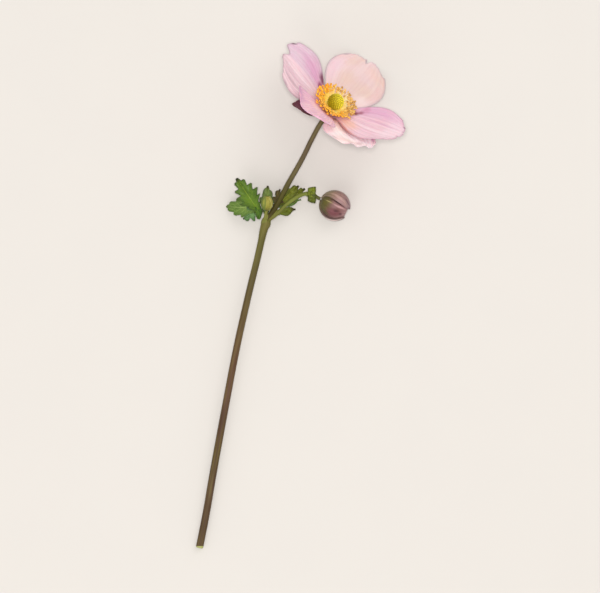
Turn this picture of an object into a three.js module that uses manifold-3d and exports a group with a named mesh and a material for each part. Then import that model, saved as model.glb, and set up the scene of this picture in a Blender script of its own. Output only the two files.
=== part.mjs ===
// Japanese anemone: one cut flowering stem that lies on its side on a flat surface.
// Millimetres, +Z up. +Y runs from the cut end towards the bloom and the surface is z = 0.
// The origin is on that surface, under the middle of the whole part.

import * as THREE from 'three';
import { mergeVertices } from 'three/addons/utils/BufferGeometryUtils.js';
import Module from 'manifold-3d';

const wasm = await Module();
wasm.setup();

// Every place below is measured from the cut end, which lies here, seen from the origin
const cutEnd = new THREE.Vector3(-46.4, -116.1, 0);

// Thickness of petals and leaves
const bladeThickness = 0.6;

// Stem: radius at the cut end and under the leaf whorl, and how it swells at the whorl
const stemFootRadius = 1.75;
const stemTopRadius = 1.55;
const whorlFlare = 0.55;
const whorlRadius = 2.35;
const flowerStalkRadii = [1.3, 1.1];
const budStalkRadii = [1.0, 0.85];
const smallBudStalkRadii = [0.8, 0.75];
const bractSwelling = 1.35;

// Bloom: the place of its centre and the direction that it faces, in degrees
const bloomCentre = new THREE.Vector3(60.7, 202.5, 18.93);
const bloomHeading = 55;
const bloomElevation = 40;
const receptacleRadius = 2.7;
const receptacleDome = 1.1;
const petalRootRadius = 3.2;
const levelStep = 1.05;
const levelReach = 5;

// Flower centre: the ball of carpels and the rings of stamens round it
const carpelRadius = 3.4;
const carpelHeight = 5.0;
const carpelBump = 0.16;
const collar = { inner: 2.75, outer: 3.9, bottom: 1.55, top: 2.35 };
const antherSize = new THREE.Vector3(0.75, 0.42, 0.34);
const filamentRadius = 0.24;
const stamenRings = [
  { count: 18, reach: 8.2, elevation: 31 },
  { count: 15, reach: 7.2, elevation: 43 },
  { count: 12, reach: 6.1, elevation: 58 },
];

// Flower bud on the side stalk, and the small green bud in the whorl
const budCentre = new THREE.Vector3(62.4, 158.0, 6.94);
const budAxis = new THREE.Vector3(0.9, -0.43, -0.05).normalize();
const budRadii = { along: 7.1, across: 7.0 };
const budSepals = 5;
const budRelief = 0.45;
const budTwist = 0.35;
const smallBudCentre = new THREE.Vector3(31.2, 159.0, 11.8);
const smallBudAxis = new THREE.Vector3(0.05, 0.97, 0.2).normalize();
const smallBudRadii = { along: 3.5, across: 2.45 };

const petalPink = 0xf0c3d6;
const leafGreen = 0x5f8a3a;

// Petals. angle is taken round the bloom's axis and cup is the rise over the open plane, at
// the root and at the tip, both in degrees. curl lifts the two long edges, twist turns the
// tip, also in degrees, and level says which petal lies over which.
const petals = [
  {
    name: 'petal_far', color: 0xf3cfd2, angle: 85, length: 31.15, width: 29.5, cup: [13, 16.4],
    level: 1.85, curl: [0.26, 0.22], twist: 0, shoulder: 1,
    notches: [
      { at: 0.12, spread: 0.07, depth: 0.06 },
      { at: -0.2, spread: 0.22, depth: -0.03 },
      { at: 0.75, spread: 0.4, depth: -0.01 },
    ],
  },
  {
    name: 'petal_right', color: petalPink, angle: -8, length: 34.5, width: 30, cup: [23, 25],
    level: 1, curl: [0.12, 0.1], twist: 0, notches: [{ at: -0.2, spread: 0.12, depth: 0.03 }],
  },
  {
    name: 'petal_low', color: petalPink, angle: 314, length: 32.3, width: 25.2, cup: [18.5, 26.5],
    level: 0, curl: [0.06, 0.02], twist: 0,
    notches: [{ at: 0.32, spread: 0.1, depth: 0.04 }, { at: -0.2, spread: 0.55, depth: 0.075 }],
    frill: { height: 0.6, waves: 2.5 }, rootDrop: 1.0,
  },
  {
    name: 'petal_near', color: petalPink, angle: 251, length: 31.5, width: 25, cup: [20, 32],
    level: 1, curl: [0.38, 0.2], twist: 0, notches: [{ at: 0.1, spread: 0.12, depth: 0.03 }],
    tipWidth: 0.5,
  },
  {
    name: 'petal_left', color: 0xe7b5d3, angle: 178.5, length: 34.5, width: 25.4, cup: [24, 15],
    level: 0, curl: [0.1, 0.04], twist: 19, fold: 1.2,
    notches: [
      { at: -0.27, spread: 0.17, depth: 0.115 },
      { at: -0.02, spread: 0.14, depth: 0.03 },
      { at: 0.6, spread: 0.7, depth: 0.17 },
    ],
  },
  {
    name: 'petal_outer', color: 0x6e4152, angle: 226.5, length: 19.5, width: 9.8, cup: [13, 12],
    level: -1, curl: [0.04, 0.04], twist: 0, notches: [], rootDrop: 1.0, tipWidth: 0.3,
  },
];
const petalGrid = { columns: 10, stations: 12 };
const clawWidth = 0.08;
const clawShoulder = 1.6;
const petalBroadest = 0.62;
const petalTipWidth = 0.68;
const tipRounding = 0.16;
const foldRate = 1.5;

// Leaves of the whorl and bracts of the side stalk, each a fan of toothed lobes.
// heading is seen from above, counted from +X, and rise is over the surface, in degrees.
const leaves = [
  {
    name: 'leaf_left', color: leafGreen, lobes: [
      { root: [27.5, 151.7, 8.6], heading: 94, length: 8, width: 4.0, rise: [8, 2], teeth: 0 },
      { root: [27.4, 155.4, 8.9], heading: 124, length: 18.4, width: 10.5, rise: [12, -6], teeth: 4 },
      { root: [27.2, 156.6, 9.0], heading: 176, length: 17.8, width: 8.6, rise: [-5, -55], teeth: 3 },
      { root: [27.0, 156.2, 8.8], heading: 213, length: 8.6, width: 6.4, rise: [-6, -30], teeth: 2 },
    ],
  },
  {
    name: 'leaf_right', color: 0x66803a, lobes: [
      { root: [33.1, 152.0, 6.2], heading: 66, length: 7, width: 3.2, rise: [-26, -4], teeth: 0 },
      { root: [36.1, 158.4, 4.3], heading: 30.5, length: 14.8, width: 5.8, rise: [0, -12], teeth: 4 },
      { root: [36.1, 158.4, 4.6], heading: 42, length: 13.2, width: 6.8, rise: [2, -10], teeth: 3 },
      { root: [34.9, 156.4, 4.4], heading: 76, length: 9.6, width: 5.4, rise: [8, 0], teeth: 2 },
      { root: [36.3, 157.4, 4.3], heading: 18, length: 11.4, width: 2.8, rise: [-8, -12], teeth: 1 },
    ],
  },
  {
    name: 'leaf_low', color: leafGreen, lobes: [
      { root: [35.2, 154.4, 6.9], heading: 12, length: 9.5, width: 4.2, rise: [1, -14], teeth: 1 },
    ],
  },
  {
    name: 'leaf_top', color: leafGreen, lobes: [
      { root: [30.7, 154.3, 7.4], heading: 86, length: 12.9, width: 6.6, rise: [-4, 2], teeth: 2 },
    ],
  },
  {
    name: 'bracts', color: leafGreen, lobes: [
      { root: [50.4, 163.0, 11.0], heading: 42, length: 5.6, width: 4.2, rise: [6, -30], teeth: 1 },
      { root: [50.6, 163.1, 11.0], heading: -52, length: 5.8, width: 4.2, rise: [4, -34], teeth: 1 },
      { root: [50.0, 163.1, 11.0], heading: -6, length: 3.9, width: 3.4, rise: [4, -16], teeth: 0 },
    ],
  },
];
const lobeColumns = 4;
const lobeFold = 10;
const lobeStalkShare = 0.14;
const teethFrom = 0.24;
const teethSpan = 0.66;
const toothWidth = 1.12;
const toothReach = 0.04;
const notchWidth = 0.74;
const lobeBroadest = 0.42;
const lobeRootWidth = 0.3;
const lobeTipWidth = 0.1;

const anemone = new THREE.Group();
anemone.position.copy(cutEnd);

// Smooth 0 to 1 step
function ease(value) {
  const x = Math.min(Math.max(value, 0), 1);
  return x * x * (3 - 2 * x);
}

function point(place) {
  return new THREE.Vector3(...place);
}

function solidOf(geometry) {
  geometry.deleteAttribute('normal');
  geometry.deleteAttribute('uv');
  const merged = mergeVertices(geometry, 1e-4);
  return new wasm.Manifold(new wasm.Mesh({
    numProp: 3,
    vertProperties: merged.attributes.position.array,
    triVerts: new Uint32Array(merged.index.array),
  }));
}

function geometryOf(solid) {
  const mesh = solid.getMesh();
  const geometry = new THREE.BufferGeometry();
  geometry.setAttribute('position', new THREE.BufferAttribute(mesh.vertProperties, 3));
  geometry.setIndex(new THREE.BufferAttribute(mesh.triVerts, 1));
  geometry.computeVertexNormals();
  return geometry;
}

function closedGeometry(points, triangles) {
  const geometry = new THREE.BufferGeometry().setFromPoints(points);
  geometry.setIndex(triangles);
  geometry.computeVertexNormals();
  return geometry;
}

function addPiece(name, geometry, color, roughness) {
  const material = new THREE.MeshStandardMaterial({ color, roughness, metalness: 0 });
  const mesh = new THREE.Mesh(geometry, material);
  mesh.name = name;
  anemone.add(mesh);
}

// A round rod along a smooth curve, with its radius as a function of the share of its length
function taperedRod(places, radiusAt, steps, sides) {
  const curve = new THREE.CatmullRomCurve3(places);
  const frames = curve.computeFrenetFrames(steps, false);
  const points = [];
  const triangles = [];
  for (let i = 0; i <= steps; i += 1) {
    const middle = curve.getPointAt(i / steps);
    for (let j = 0; j < sides; j += 1) {
      const angle = 2 * Math.PI * j / sides;
      points.push(middle.clone()
        .addScaledVector(frames.normals[i], Math.cos(angle) * radiusAt(i / steps))
        .addScaledVector(frames.binormals[i], Math.sin(angle) * radiusAt(i / steps)));
    }
  }
  const first = points.push(places[0].clone()) - 1;
  const last = points.push(places[places.length - 1].clone()) - 1;
  for (let j = 0; j < sides; j += 1) {
    const next = (j + 1) % sides;
    for (let i = 0; i < steps; i += 1) {
      const here = i * sides;
      const there = here + sides;
      triangles.push(here + j, here + next, there + next, here + j, there + next, there + j);
    }
    triangles.push(first, next, j);
    triangles.push(last, steps * sides + j, steps * sides + next);
  }
  return closedGeometry(points, triangles);
}

// A thin solid whose front is surface(u, v), with u from -1 to 1 and v from 0 to 1.
// The back has the same triangles as the front, bladeThickness behind it.
function blade(surface, columns, stations) {
  const front = [];
  for (const v of stations) {
    for (let i = 0; i <= columns; i += 1) {
      front.push(surface(2 * i / columns - 1, v));
    }
  }
  const rows = stations.length - 1;
  const at = (i, j) => j * (columns + 1) + i;
  const back = front.map((place, index) => {
    const i = index % (columns + 1);
    const j = Math.floor(index / (columns + 1));
    const across = front[at(Math.min(i + 1, columns), j)].clone()
      .sub(front[at(Math.max(i - 1, 0), j)]);
    const along = front[at(i, Math.min(j + 1, rows))].clone()
      .sub(front[at(i, Math.max(j - 1, 0))]);
    return place.clone().addScaledVector(across.cross(along).normalize(), -bladeThickness);
  });
  const shift = front.length;
  const triangles = [];
  for (let j = 0; j < rows; j += 1) {
    for (let i = 0; i < columns; i += 1) {
      const [a, b, c, d] = [at(i, j), at(i + 1, j), at(i + 1, j + 1), at(i, j + 1)];
      triangles.push(a, b, c, a, c, d);
      triangles.push(a + shift, c + shift, b + shift, a + shift, d + shift, c + shift);
    }
  }
  const border = [];
  for (let i = 0; i < columns; i += 1) {
    border.push([at(i, 0), at(i + 1, 0)], [at(i + 1, rows), at(i, rows)]);
  }
  for (let j = 0; j < rows; j += 1) {
    border.push([at(columns, j), at(columns, j + 1)], [at(0, j + 1), at(0, j)]);
  }
  for (const [p, q] of border) {
    triangles.push(p + shift, q + shift, q, p + shift, q, p);
  }
  return closedGeometry(front.concat(back), triangles);
}

// The bloom's own axes: axis points out of its face, side and down span the open plane
const heading = THREE.MathUtils.degToRad(bloomHeading);
const elevation = THREE.MathUtils.degToRad(bloomElevation);
const axis = new THREE.Vector3(
  Math.cos(heading) * Math.cos(elevation),
  Math.sin(heading) * Math.cos(elevation),
  Math.sin(elevation),
);
const side = new THREE.Vector3(Math.sin(heading), -Math.cos(heading), 0);
const down = axis.clone().cross(side);

// A direction in the bloom's open plane, and a place given by angle, reach and height
function bloomDirection(angle) {
  return side.clone().multiplyScalar(Math.cos(angle)).addScaledVector(down, Math.sin(angle));
}

function bloomPlace(angle, reach, height) {
  return bloomCentre.clone().addScaledVector(bloomDirection(angle), reach)
    .addScaledVector(axis, height);
}

// The share of the petal's length that its rounded, notched end reaches at u
function tipShape(u, notches) {
  let share = 1 - tipRounding * u * u;
  for (const notch of notches) {
    share -= notch.depth * Math.exp(-(((u - notch.at) / notch.spread) ** 2));
  }
  return share;
}

// The share of the petal's half width at v: a narrow claw, then broad, then rounded in
function widthShape(v, shoulder, tipWidth) {
  if (v < petalBroadest) {
    return clawWidth + (1 - clawWidth) * Math.sin(Math.PI / 2 * v / petalBroadest) ** shoulder;
  }
  return 1 - (1 - tipWidth) * ((v - petalBroadest) / (1 - petalBroadest)) ** 2;
}

function petalSurface(petal) {
  const angle = THREE.MathUtils.degToRad(petal.angle);
  const outward = bloomDirection(angle);
  const crosswise = bloomDirection(angle + Math.PI / 2);
  const [rootCup, tipCup] = petal.cup.map(THREE.MathUtils.degToRad);
  const bend = (tipCup - rootCup) / petal.length;
  const tipTurn = THREE.MathUtils.degToRad(petal.twist);
  const rootDrop = petal.rootDrop ?? 0;
  const shoulder = petal.shoulder ?? clawShoulder;
  const tipWidth = petal.tipWidth ?? petalTipWidth;
  return (u, v) => {
    const along = v * petal.length * tipShape(u, petal.notches);
    const cup = rootCup + bend * along;
    const reach = petalRootRadius + (Math.sin(cup) - Math.sin(rootCup)) / bend;
    const rise = (Math.cos(rootCup) - Math.cos(cup)) / bend - rootDrop;
    const across = petal.width / 2 * widthShape(v, shoulder, tipWidth) * u;
    let lift = petal.level * levelStep * ease(along / levelReach);
    lift -= across * Math.sin(tipTurn * v);
    lift += (u < 0 ? petal.curl[0] : petal.curl[1]) * v * Math.abs(across * u);
    if (petal.fold) {
      lift -= petal.fold * ease(v * foldRate) * (1 - Math.abs(u)) ** 2;
    }
    if (petal.frill) {
      lift += petal.frill.height * v ** 4 * Math.sin(petal.frill.waves * Math.PI * u);
    }
    const inward = axis.clone().multiplyScalar(Math.cos(cup))
      .addScaledVector(outward, -Math.sin(cup));
    return bloomCentre.clone()
      .addScaledVector(outward, reach)
      .addScaledVector(crosswise, across * Math.cos(tipTurn * v))
      .addScaledVector(axis, rise)
      .addScaledVector(inward, lift);
  };
}

function addPetals() {
  const stations = [];
  for (let j = 0; j <= petalGrid.stations; j += 1) {
    stations.push(j / petalGrid.stations);
  }
  for (const petal of petals) {
    addPiece(petal.name, blade(petalSurface(petal), petalGrid.columns, stations), petal.color, 0.6);
  }
}

// Stations along a lobe: its stalk end, a notch and a point for each tooth, and the tip
function lobeStations(teeth) {
  const stations = [{ v: 0, tooth: 1 }, { v: lobeStalkShare, tooth: 1 }];
  const toothStep = teethSpan / Math.max(teeth, 1);
  for (let k = 0; k < teeth; k += 1) {
    stations.push({ v: teethFrom + k * toothStep, tooth: notchWidth });
    stations.push({ v: teethFrom + (k + 0.7) * toothStep, tooth: toothWidth });
  }
  if (teeth === 0) {
    stations.push({ v: 0.5, tooth: 1 });
  }
  stations.push({ v: 0.93, tooth: 0.8 }, { v: 1, tooth: 1 });
  return stations;
}

function lobeWidth(v) {
  if (v < lobeBroadest) {
    return lobeRootWidth + (1 - lobeRootWidth) * ease(v / lobeBroadest);
  }
  return 1 - (1 - lobeTipWidth) * ((v - lobeBroadest) / (1 - lobeBroadest)) ** 1.5;
}

// One toothed lobe, folded a little along its midrib
function lobeBlade(lobe) {
  const turn = THREE.MathUtils.degToRad(lobe.heading);
  const forward = new THREE.Vector3(Math.cos(turn), Math.sin(turn), 0);
  const right = new THREE.Vector3(Math.sin(turn), -Math.cos(turn), 0);
  const [rootRise, tipRise] = lobe.rise.map(THREE.MathUtils.degToRad);
  const bend = (tipRise - rootRise) / lobe.length;
  const fold = Math.tan(THREE.MathUtils.degToRad(lobeFold));
  const stations = lobeStations(lobe.teeth);
  const toothAt = new Map(stations.map((station) => [station.v, station.tooth]));
  const surface = (u, v) => {
    const edge = Math.abs(u) === 1;
    const tooth = toothAt.get(v);
    const pointed = edge && tooth === toothWidth ? toothReach : 0;
    const along = lobe.length * Math.min(v + pointed, 1);
    const rise = rootRise + bend * along;
    const across = lobe.width / 2 * lobeWidth(v) * u * (edge ? tooth : 1);
    return point(lobe.root)
      .addScaledVector(forward, (Math.sin(rise) - Math.sin(rootRise)) / bend)
      .addScaledVector(right, across)
      .add(new THREE.Vector3(0, 0, (Math.cos(rootRise) - Math.cos(rise)) / bend))
      .add(new THREE.Vector3(0, 0, Math.abs(across) * fold));
  };
  return blade(surface, lobeColumns, stations.map((station) => station.v));
}

function addLeaves() {
  for (const leaf of leaves) {
    const solids = leaf.lobes.map((lobe) => solidOf(lobeBlade(lobe)));
    addPiece(leaf.name, geometryOf(wasm.Manifold.union(solids)), leaf.color, 0.5);
  }
}

function ball(place, radius, stretch) {
  const geometry = new THREE.SphereGeometry(radius, 16, 10);
  geometry.scale(stretch.x, stretch.y, stretch.z);
  geometry.translate(place.x, place.y, place.z);
  return geometry;
}

// Stem, whorl swelling, the three stalks and the receptacle, grown as one piece
function addStem() {
  const mainStem = [
    [0, 0, 1.76], [3.3, 16.8, 2.5], [6.2, 33.6, 3.3], [12.1, 65.7, 4.7], [17.6, 94.2, 6.1],
    [21.0, 109.5, 6.8], [23.9, 121.9, 7.4], [26.8, 133.6, 8.0], [29.9, 147.5, 8.5],
    [31.1, 151.1, 8.6],
  ].map(point);
  const stalkEnd = bloomCentre.clone().addScaledVector(axis, -1);
  const flowerStalk = [
    point([31.1, 151.1, 8.6]), point([36.3, 159.2, 9.2]), point([40.9, 167.9, 9.6]),
    point([47.5, 179.6, 10.4]), point([52.4, 189.5, 11.9]), point([55.6, 195.3, 13.6]),
    bloomCentre.clone().addScaledVector(axis, -4.5), stalkEnd,
  ];
  const budStalkEnd = budCentre.clone().addScaledVector(budAxis, -budRadii.along - 0.3);
  const budStalk = [
    point([31.9, 151.4, 8.6]), point([35.4, 153.9, 8.7]), point([41.6, 159.6, 9.4]),
    point([48.9, 163.5, 9.2]), point([52.0, 163.5, 8.2]),
    budStalkEnd.clone().addScaledVector(budAxis, -1.5), budStalkEnd,
  ];
  const smallBudEnd = smallBudCentre.clone().addScaledVector(smallBudAxis, -smallBudRadii.along - 0.5);
  const smallBudStalk = [point([30.3, 150.9, 8.7]), point([30.6, 153.6, 9.8]), smallBudEnd];
  const receptacle = new THREE.SphereGeometry(receptacleRadius, 20, 10);
  receptacle.scale(1, 1, receptacleDome / receptacleRadius);
  receptacle.applyQuaternion(new THREE.Quaternion().setFromUnitVectors(
    new THREE.Vector3(0, 0, 1), axis));
  receptacle.translate(bloomCentre.x, bloomCentre.y, bloomCentre.z);
  const stemRadius = (t) => THREE.MathUtils.lerp(stemFootRadius, stemTopRadius, t)
    + whorlFlare * Math.exp(-(((1 - t) / 0.04) ** 2));
  const flowerStalkRadius = (t) => THREE.MathUtils.lerp(...flowerStalkRadii, t);
  const budStalkRadius = (t) => THREE.MathUtils.lerp(...budStalkRadii, t)
    + (bractSwelling - budStalkRadii[1]) * Math.exp(-(((t - 0.68) / 0.05) ** 2));
  const smallBudStalkRadius = (t) => THREE.MathUtils.lerp(...smallBudStalkRadii, t);
  const pieces = [
    taperedRod(mainStem, stemRadius, 26, 10),
    ball(point([30.7, 149.9, 8.6]), whorlRadius, new THREE.Vector3(1, 1.25, 0.92)),
    taperedRod(flowerStalk, flowerStalkRadius, 18, 8),
    taperedRod(budStalk, budStalkRadius, 16, 8),
    taperedRod(smallBudStalk, smallBudStalkRadius, 5, 8),
    receptacle,
  ];
  addPiece('stem', geometryOf(wasm.Manifold.union(pieces.map(solidOf))), 0x6e6440, 0.65);
}

// The collar at the foot of the filaments
function collarGeometry() {
  const geometry = new THREE.LatheGeometry([
    new THREE.Vector2(collar.inner, collar.bottom),
    new THREE.Vector2(collar.outer, collar.bottom),
    new THREE.Vector2(collar.outer, collar.top),
    new THREE.Vector2(collar.inner, collar.top),
    new THREE.Vector2(collar.inner, collar.bottom),
  ], 36);
  geometry.rotateX(Math.PI / 2);
  geometry.applyQuaternion(new THREE.Quaternion().setFromRotationMatrix(
    new THREE.Matrix4().makeBasis(side, down, axis)));
  geometry.translate(bloomCentre.x, bloomCentre.y, bloomCentre.z);
  return geometry;
}

function addStamens() {
  const solids = [solidOf(collarGeometry())];
  stamenRings.forEach((ring, ringIndex) => {
    const lean = THREE.MathUtils.degToRad(ring.elevation);
    const foot = THREE.MathUtils.lerp(collar.outer - 0.5, collar.inner + 0.3, ringIndex / 2);
    for (let k = 0; k < ring.count; k += 1) {
      const angle = 2 * Math.PI * (k + 0.5 * (ringIndex % 2)) / ring.count;
      const reach = ring.reach * (1 + 0.05 * Math.sin(5 * k + ringIndex));
      const root = bloomPlace(angle, foot, collar.top - 0.5);
      const direction = bloomDirection(angle).multiplyScalar(Math.cos(lean))
        .addScaledVector(axis, Math.sin(lean));
      const tip = root.clone().addScaledVector(direction, reach);
      solids.push(solidOf(taperedRod([root, tip], () => filamentRadius, 1, 3)));
      const anther = new THREE.SphereGeometry(1, 5, 3);
      anther.scale(antherSize.y, antherSize.x, antherSize.z);
      anther.applyQuaternion(new THREE.Quaternion().setFromUnitVectors(
        new THREE.Vector3(0, 1, 0), direction));
      anther.translate(tip.x, tip.y, tip.z);
      solids.push(solidOf(anther));
    }
  });
  addPiece('stamens', geometryOf(wasm.Manifold.union(solids)), 0xe6a327, 0.7);
}

// The ball of many small carpels, with their tips as fine bumps
function addCarpels() {
  const geometry = new THREE.SphereGeometry(carpelRadius, 24, 14);
  const places = geometry.attributes.position;
  for (let i = 0; i < places.count; i += 1) {
    const place = new THREE.Vector3().fromBufferAttribute(places, i);
    const turn = Math.atan2(place.z, place.x);
    const tilt = Math.acos(THREE.MathUtils.clamp(place.y / carpelRadius, -1, 1));
    const bump = carpelBump * Math.cos(12 * turn) * Math.cos(14 * tilt) * Math.sin(tilt);
    place.setLength(carpelRadius + bump);
    places.setXYZ(i, place.x, place.y, place.z);
  }
  const centre = bloomPlace(0, 0, carpelHeight);
  geometry.applyQuaternion(new THREE.Quaternion().setFromUnitVectors(
    new THREE.Vector3(0, 1, 0), axis));
  geometry.translate(centre.x, centre.y, centre.z);
  addPiece('carpel_head', geometryOf(solidOf(geometry)), 0xa9ad2a, 0.7);
}

// A closed bud: sepals overlap round its axis like a closed shutter, each edge a low step
function budGeometry(centre, direction, radii, relief, columns, rows) {
  const geometry = new THREE.SphereGeometry(1, columns, rows);
  const places = geometry.attributes.position;
  for (let i = 0; i < places.count; i += 1) {
    const place = new THREE.Vector3().fromBufferAttribute(places, i);
    const turn = Math.atan2(place.z, place.x) / (2 * Math.PI) + 1;
    const share = Math.acos(THREE.MathUtils.clamp(place.y, -1, 1)) / Math.PI;
    const step = (turn * budSepals + budTwist * share) % 1;
    const height = 1 - relief * (1 - step) * Math.sin(Math.PI * share) ** 0.7;
    place.x *= radii.across * height;
    place.z *= radii.across * height;
    place.y *= radii.along;
    places.setXYZ(i, place.x, place.y, place.z);
  }
  geometry.applyQuaternion(new THREE.Quaternion().setFromUnitVectors(
    new THREE.Vector3(0, 1, 0), direction));
  geometry.translate(centre.x, centre.y, centre.z);
  return geometryOf(solidOf(geometry));
}

function addBuds() {
  const relief = budRelief / budRadii.across;
  const smallRelief = budRelief / 2 / smallBudRadii.across;
  const bud = budGeometry(budCentre, budAxis, budRadii, relief, 25, 14);
  const smallBud = budGeometry(smallBudCentre, smallBudAxis, smallBudRadii, smallRelief, 20, 10);
  addPiece('bud', bud, 0x8c6468, 0.75);
  addPiece('small_bud', smallBud, 0x9a9a44, 0.75);
}

addStem();
addPetals();
addStamens();
addCarpels();
addBuds();
addLeaves();

export default anemone;
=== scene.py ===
import math
import random

import bpy
import numpy as np
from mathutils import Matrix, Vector, noise


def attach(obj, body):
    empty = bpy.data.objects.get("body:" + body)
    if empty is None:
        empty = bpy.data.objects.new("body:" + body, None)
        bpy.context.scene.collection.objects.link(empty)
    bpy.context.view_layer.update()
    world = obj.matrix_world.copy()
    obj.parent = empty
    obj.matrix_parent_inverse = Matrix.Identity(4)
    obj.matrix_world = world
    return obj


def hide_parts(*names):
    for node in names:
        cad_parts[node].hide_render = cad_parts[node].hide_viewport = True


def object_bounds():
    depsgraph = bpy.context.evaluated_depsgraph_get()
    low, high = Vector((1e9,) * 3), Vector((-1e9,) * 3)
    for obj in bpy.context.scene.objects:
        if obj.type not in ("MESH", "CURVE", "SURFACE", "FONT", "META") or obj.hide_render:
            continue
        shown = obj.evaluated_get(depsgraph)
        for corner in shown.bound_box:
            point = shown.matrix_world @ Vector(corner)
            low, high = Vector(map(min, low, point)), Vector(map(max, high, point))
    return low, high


# A cut Japanese anemone stem that lies on a pale table, seen from straight above.
# Sizes in the settings are millimetres, and places are measured from the cut end of the stem, as in
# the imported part. Angles are degrees, and colours are as a screen shows them, from 0 to 255.
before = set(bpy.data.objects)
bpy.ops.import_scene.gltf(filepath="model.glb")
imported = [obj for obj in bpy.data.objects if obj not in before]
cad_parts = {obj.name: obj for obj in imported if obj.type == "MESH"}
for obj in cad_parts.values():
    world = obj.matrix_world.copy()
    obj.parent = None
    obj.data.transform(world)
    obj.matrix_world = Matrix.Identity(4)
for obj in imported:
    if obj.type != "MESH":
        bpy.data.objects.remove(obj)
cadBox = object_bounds()
bpy.ops.object.select_all(action='DESELECT')
print("frame:", len(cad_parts), "nodes")

mm = 0.001
up = Vector((0, 0, 1))
cutEnd = Vector((-46.4, -116.1, 0))
bloom = {"centre": Vector((60.7, 202.5, 18.93)), "heading": 55, "elevation": 40, "headHeight": 5.0}


def at(place):
    return (cutEnd + Vector(place)) * mm


def ease(value):
    x = min(max(value, 0), 1)
    return x * x * (3 - 2 * x)


def between(keys, t):
    # straight lines from key to key, each key a pair of place and value
    return float(np.interp(t, [key[0] for key in keys], [key[1] for key in keys]))


heading = math.radians(bloom["heading"])
elevation = math.radians(bloom["elevation"])
axis = Vector((math.cos(heading) * math.cos(elevation),
               math.sin(heading) * math.cos(elevation), math.sin(elevation)))
side = Vector((math.sin(heading), -math.cos(heading), 0))
down = axis.cross(side)


def bloomDirection(angle):
    return side * math.cos(angle) + down * math.sin(angle)


def bloomPlace(angle, reach, height):
    return bloom["centre"] + bloomDirection(angle) * reach + axis * height


headCentre = bloomPlace(0, 0, bloom["headHeight"])


# small helpers for modelling

def pick(*pieces):
    bpy.ops.object.select_all(action='DESELECT')
    for piece in pieces:
        piece.select_set(True)
    bpy.context.view_layer.objects.active = pieces[0]


def joined(name, pieces):
    pick(*pieces)
    if len(pieces) > 1:
        bpy.ops.object.join()
    piece = bpy.context.object
    piece.name = name
    piece.data.name = name
    return piece


def finish(piece, kind, **settings):
    # add one modifier and apply it
    pick(piece)
    modifier = piece.modifiers.new(kind.title(), kind)
    for key, value in settings.items():
        setattr(modifier, key, value)
    bpy.ops.object.modifier_apply(modifier=modifier.name)


def sheetOf(name, surface, across, along):
    # a grid primitive, bent to surface(u, v): u from -1 to 1 across, v from 0 to 1 along
    bpy.ops.mesh.primitive_grid_add(x_subdivisions=across, y_subdivisions=along, size=2)
    piece = bpy.context.object
    piece.name = name
    piece.data.name = name
    for vertex in piece.data.vertices:
        vertex.co = surface(vertex.co.x, (vertex.co.y + 1) / 2)
    return piece


def twin(piece):
    # a copy with a mesh of its own
    copy = piece.copy()
    copy.data = piece.data.copy()
    bpy.context.collection.objects.link(copy)
    return copy


def startsOf(piece):
    return [vertex.co.copy() for vertex in piece.data.vertices]


def turnOver(piece):
    pick(piece)
    bpy.ops.object.mode_set(mode='EDIT')
    bpy.ops.mesh.select_all(action='SELECT')
    bpy.ops.mesh.flip_normals()
    bpy.ops.object.mode_set(mode='OBJECT')


def smooth(piece, angle=60):
    pick(piece)
    bpy.ops.object.shade_smooth_by_angle(angle=math.radians(angle))


def dress(piece, slot, *nodes):
    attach(piece, "root")
    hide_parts(*nodes)


# small helpers for materials

def paint(colour):
    # a screen colour made linear
    return tuple(c / 3294.6 if c < 10.3 else ((c / 255 + 0.055) / 1.055) ** 2.4 for c in colour) + (1.0,)


def feed(tree, made, inputs):
    # sockets are linked to a node's inputs, and plain values are set on them
    for key, value in inputs.items():
        if isinstance(value, bpy.types.NodeSocket):
            tree.links.new(value, made.inputs[key])
        else:
            made.inputs[key].default_value = value


def node(tree, kind, inputs=None, **settings):
    made = tree.nodes.new(kind)
    for key, value in settings.items():
        setattr(made, key, value)
    feed(tree, made, inputs or {})
    return made


def maths(tree, operation, a, b=0.0, clamp=False):
    return node(tree, "ShaderNodeMath", {0: a, 1: b}, operation=operation, use_clamp=clamp).outputs[0]


def times(tree, a, b):
    return maths(tree, 'MULTIPLY', a, b)


def step(tree, value, low, high, start=0.0, end=1.0):
    ranged = node(tree, "ShaderNodeMapRange", {0: value, 1: low, 2: high, 3: start, 4: end},
                  interpolation_type='SMOOTHSTEP')
    return ranged.outputs[0]


def blendColour(tree, share, first, second):
    # each colour is a socket or a screen colour
    first, second = (paint(colour) if isinstance(colour, tuple) else colour for colour in (first, second))
    return node(tree, "ShaderNodeMix", {0: share, 6: first, 7: second}, data_type='RGBA').outputs[2]


def split(tree, place):
    return node(tree, "ShaderNodeSeparateXYZ", {0: place}).outputs


def scaled(tree, place, scale):
    return node(tree, "ShaderNodeMapping", {"Vector": place, "Scale": scale}).outputs[0]


def clouds(tree, place, scale, detail=3.0, roughness=0.5):
    return node(tree, "ShaderNodeTexNoise", {
        "Vector": place, "Scale": scale, "Detail": detail, "Roughness": roughness}).outputs[0]


def bladePlace(tree):
    # the place on a blade's own map, and its parts across and along
    place = node(tree, "ShaderNodeUVMap", uv_map="UVMap").outputs[0]
    return place, split(tree, place)


def objectPlace(tree):
    return node(tree, "ShaderNodeTexCoord").outputs["Object"]


def fromHead(tree, place):
    return node(tree, "ShaderNodeVectorMath", {0: place, 1: at(headCentre)}, operation='SUBTRACT').outputs[0]


def uneven(tree, mask, look):
    # bumps and roughness that follow one mask
    strength, depth = look["bump"]
    bump = node(tree, "ShaderNodeBump", {"Height": mask, "Strength": strength, "Distance": depth * mm})
    return {"Normal": bump.outputs[0], "Roughness": step(tree, mask, *look["gloss"])}


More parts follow.
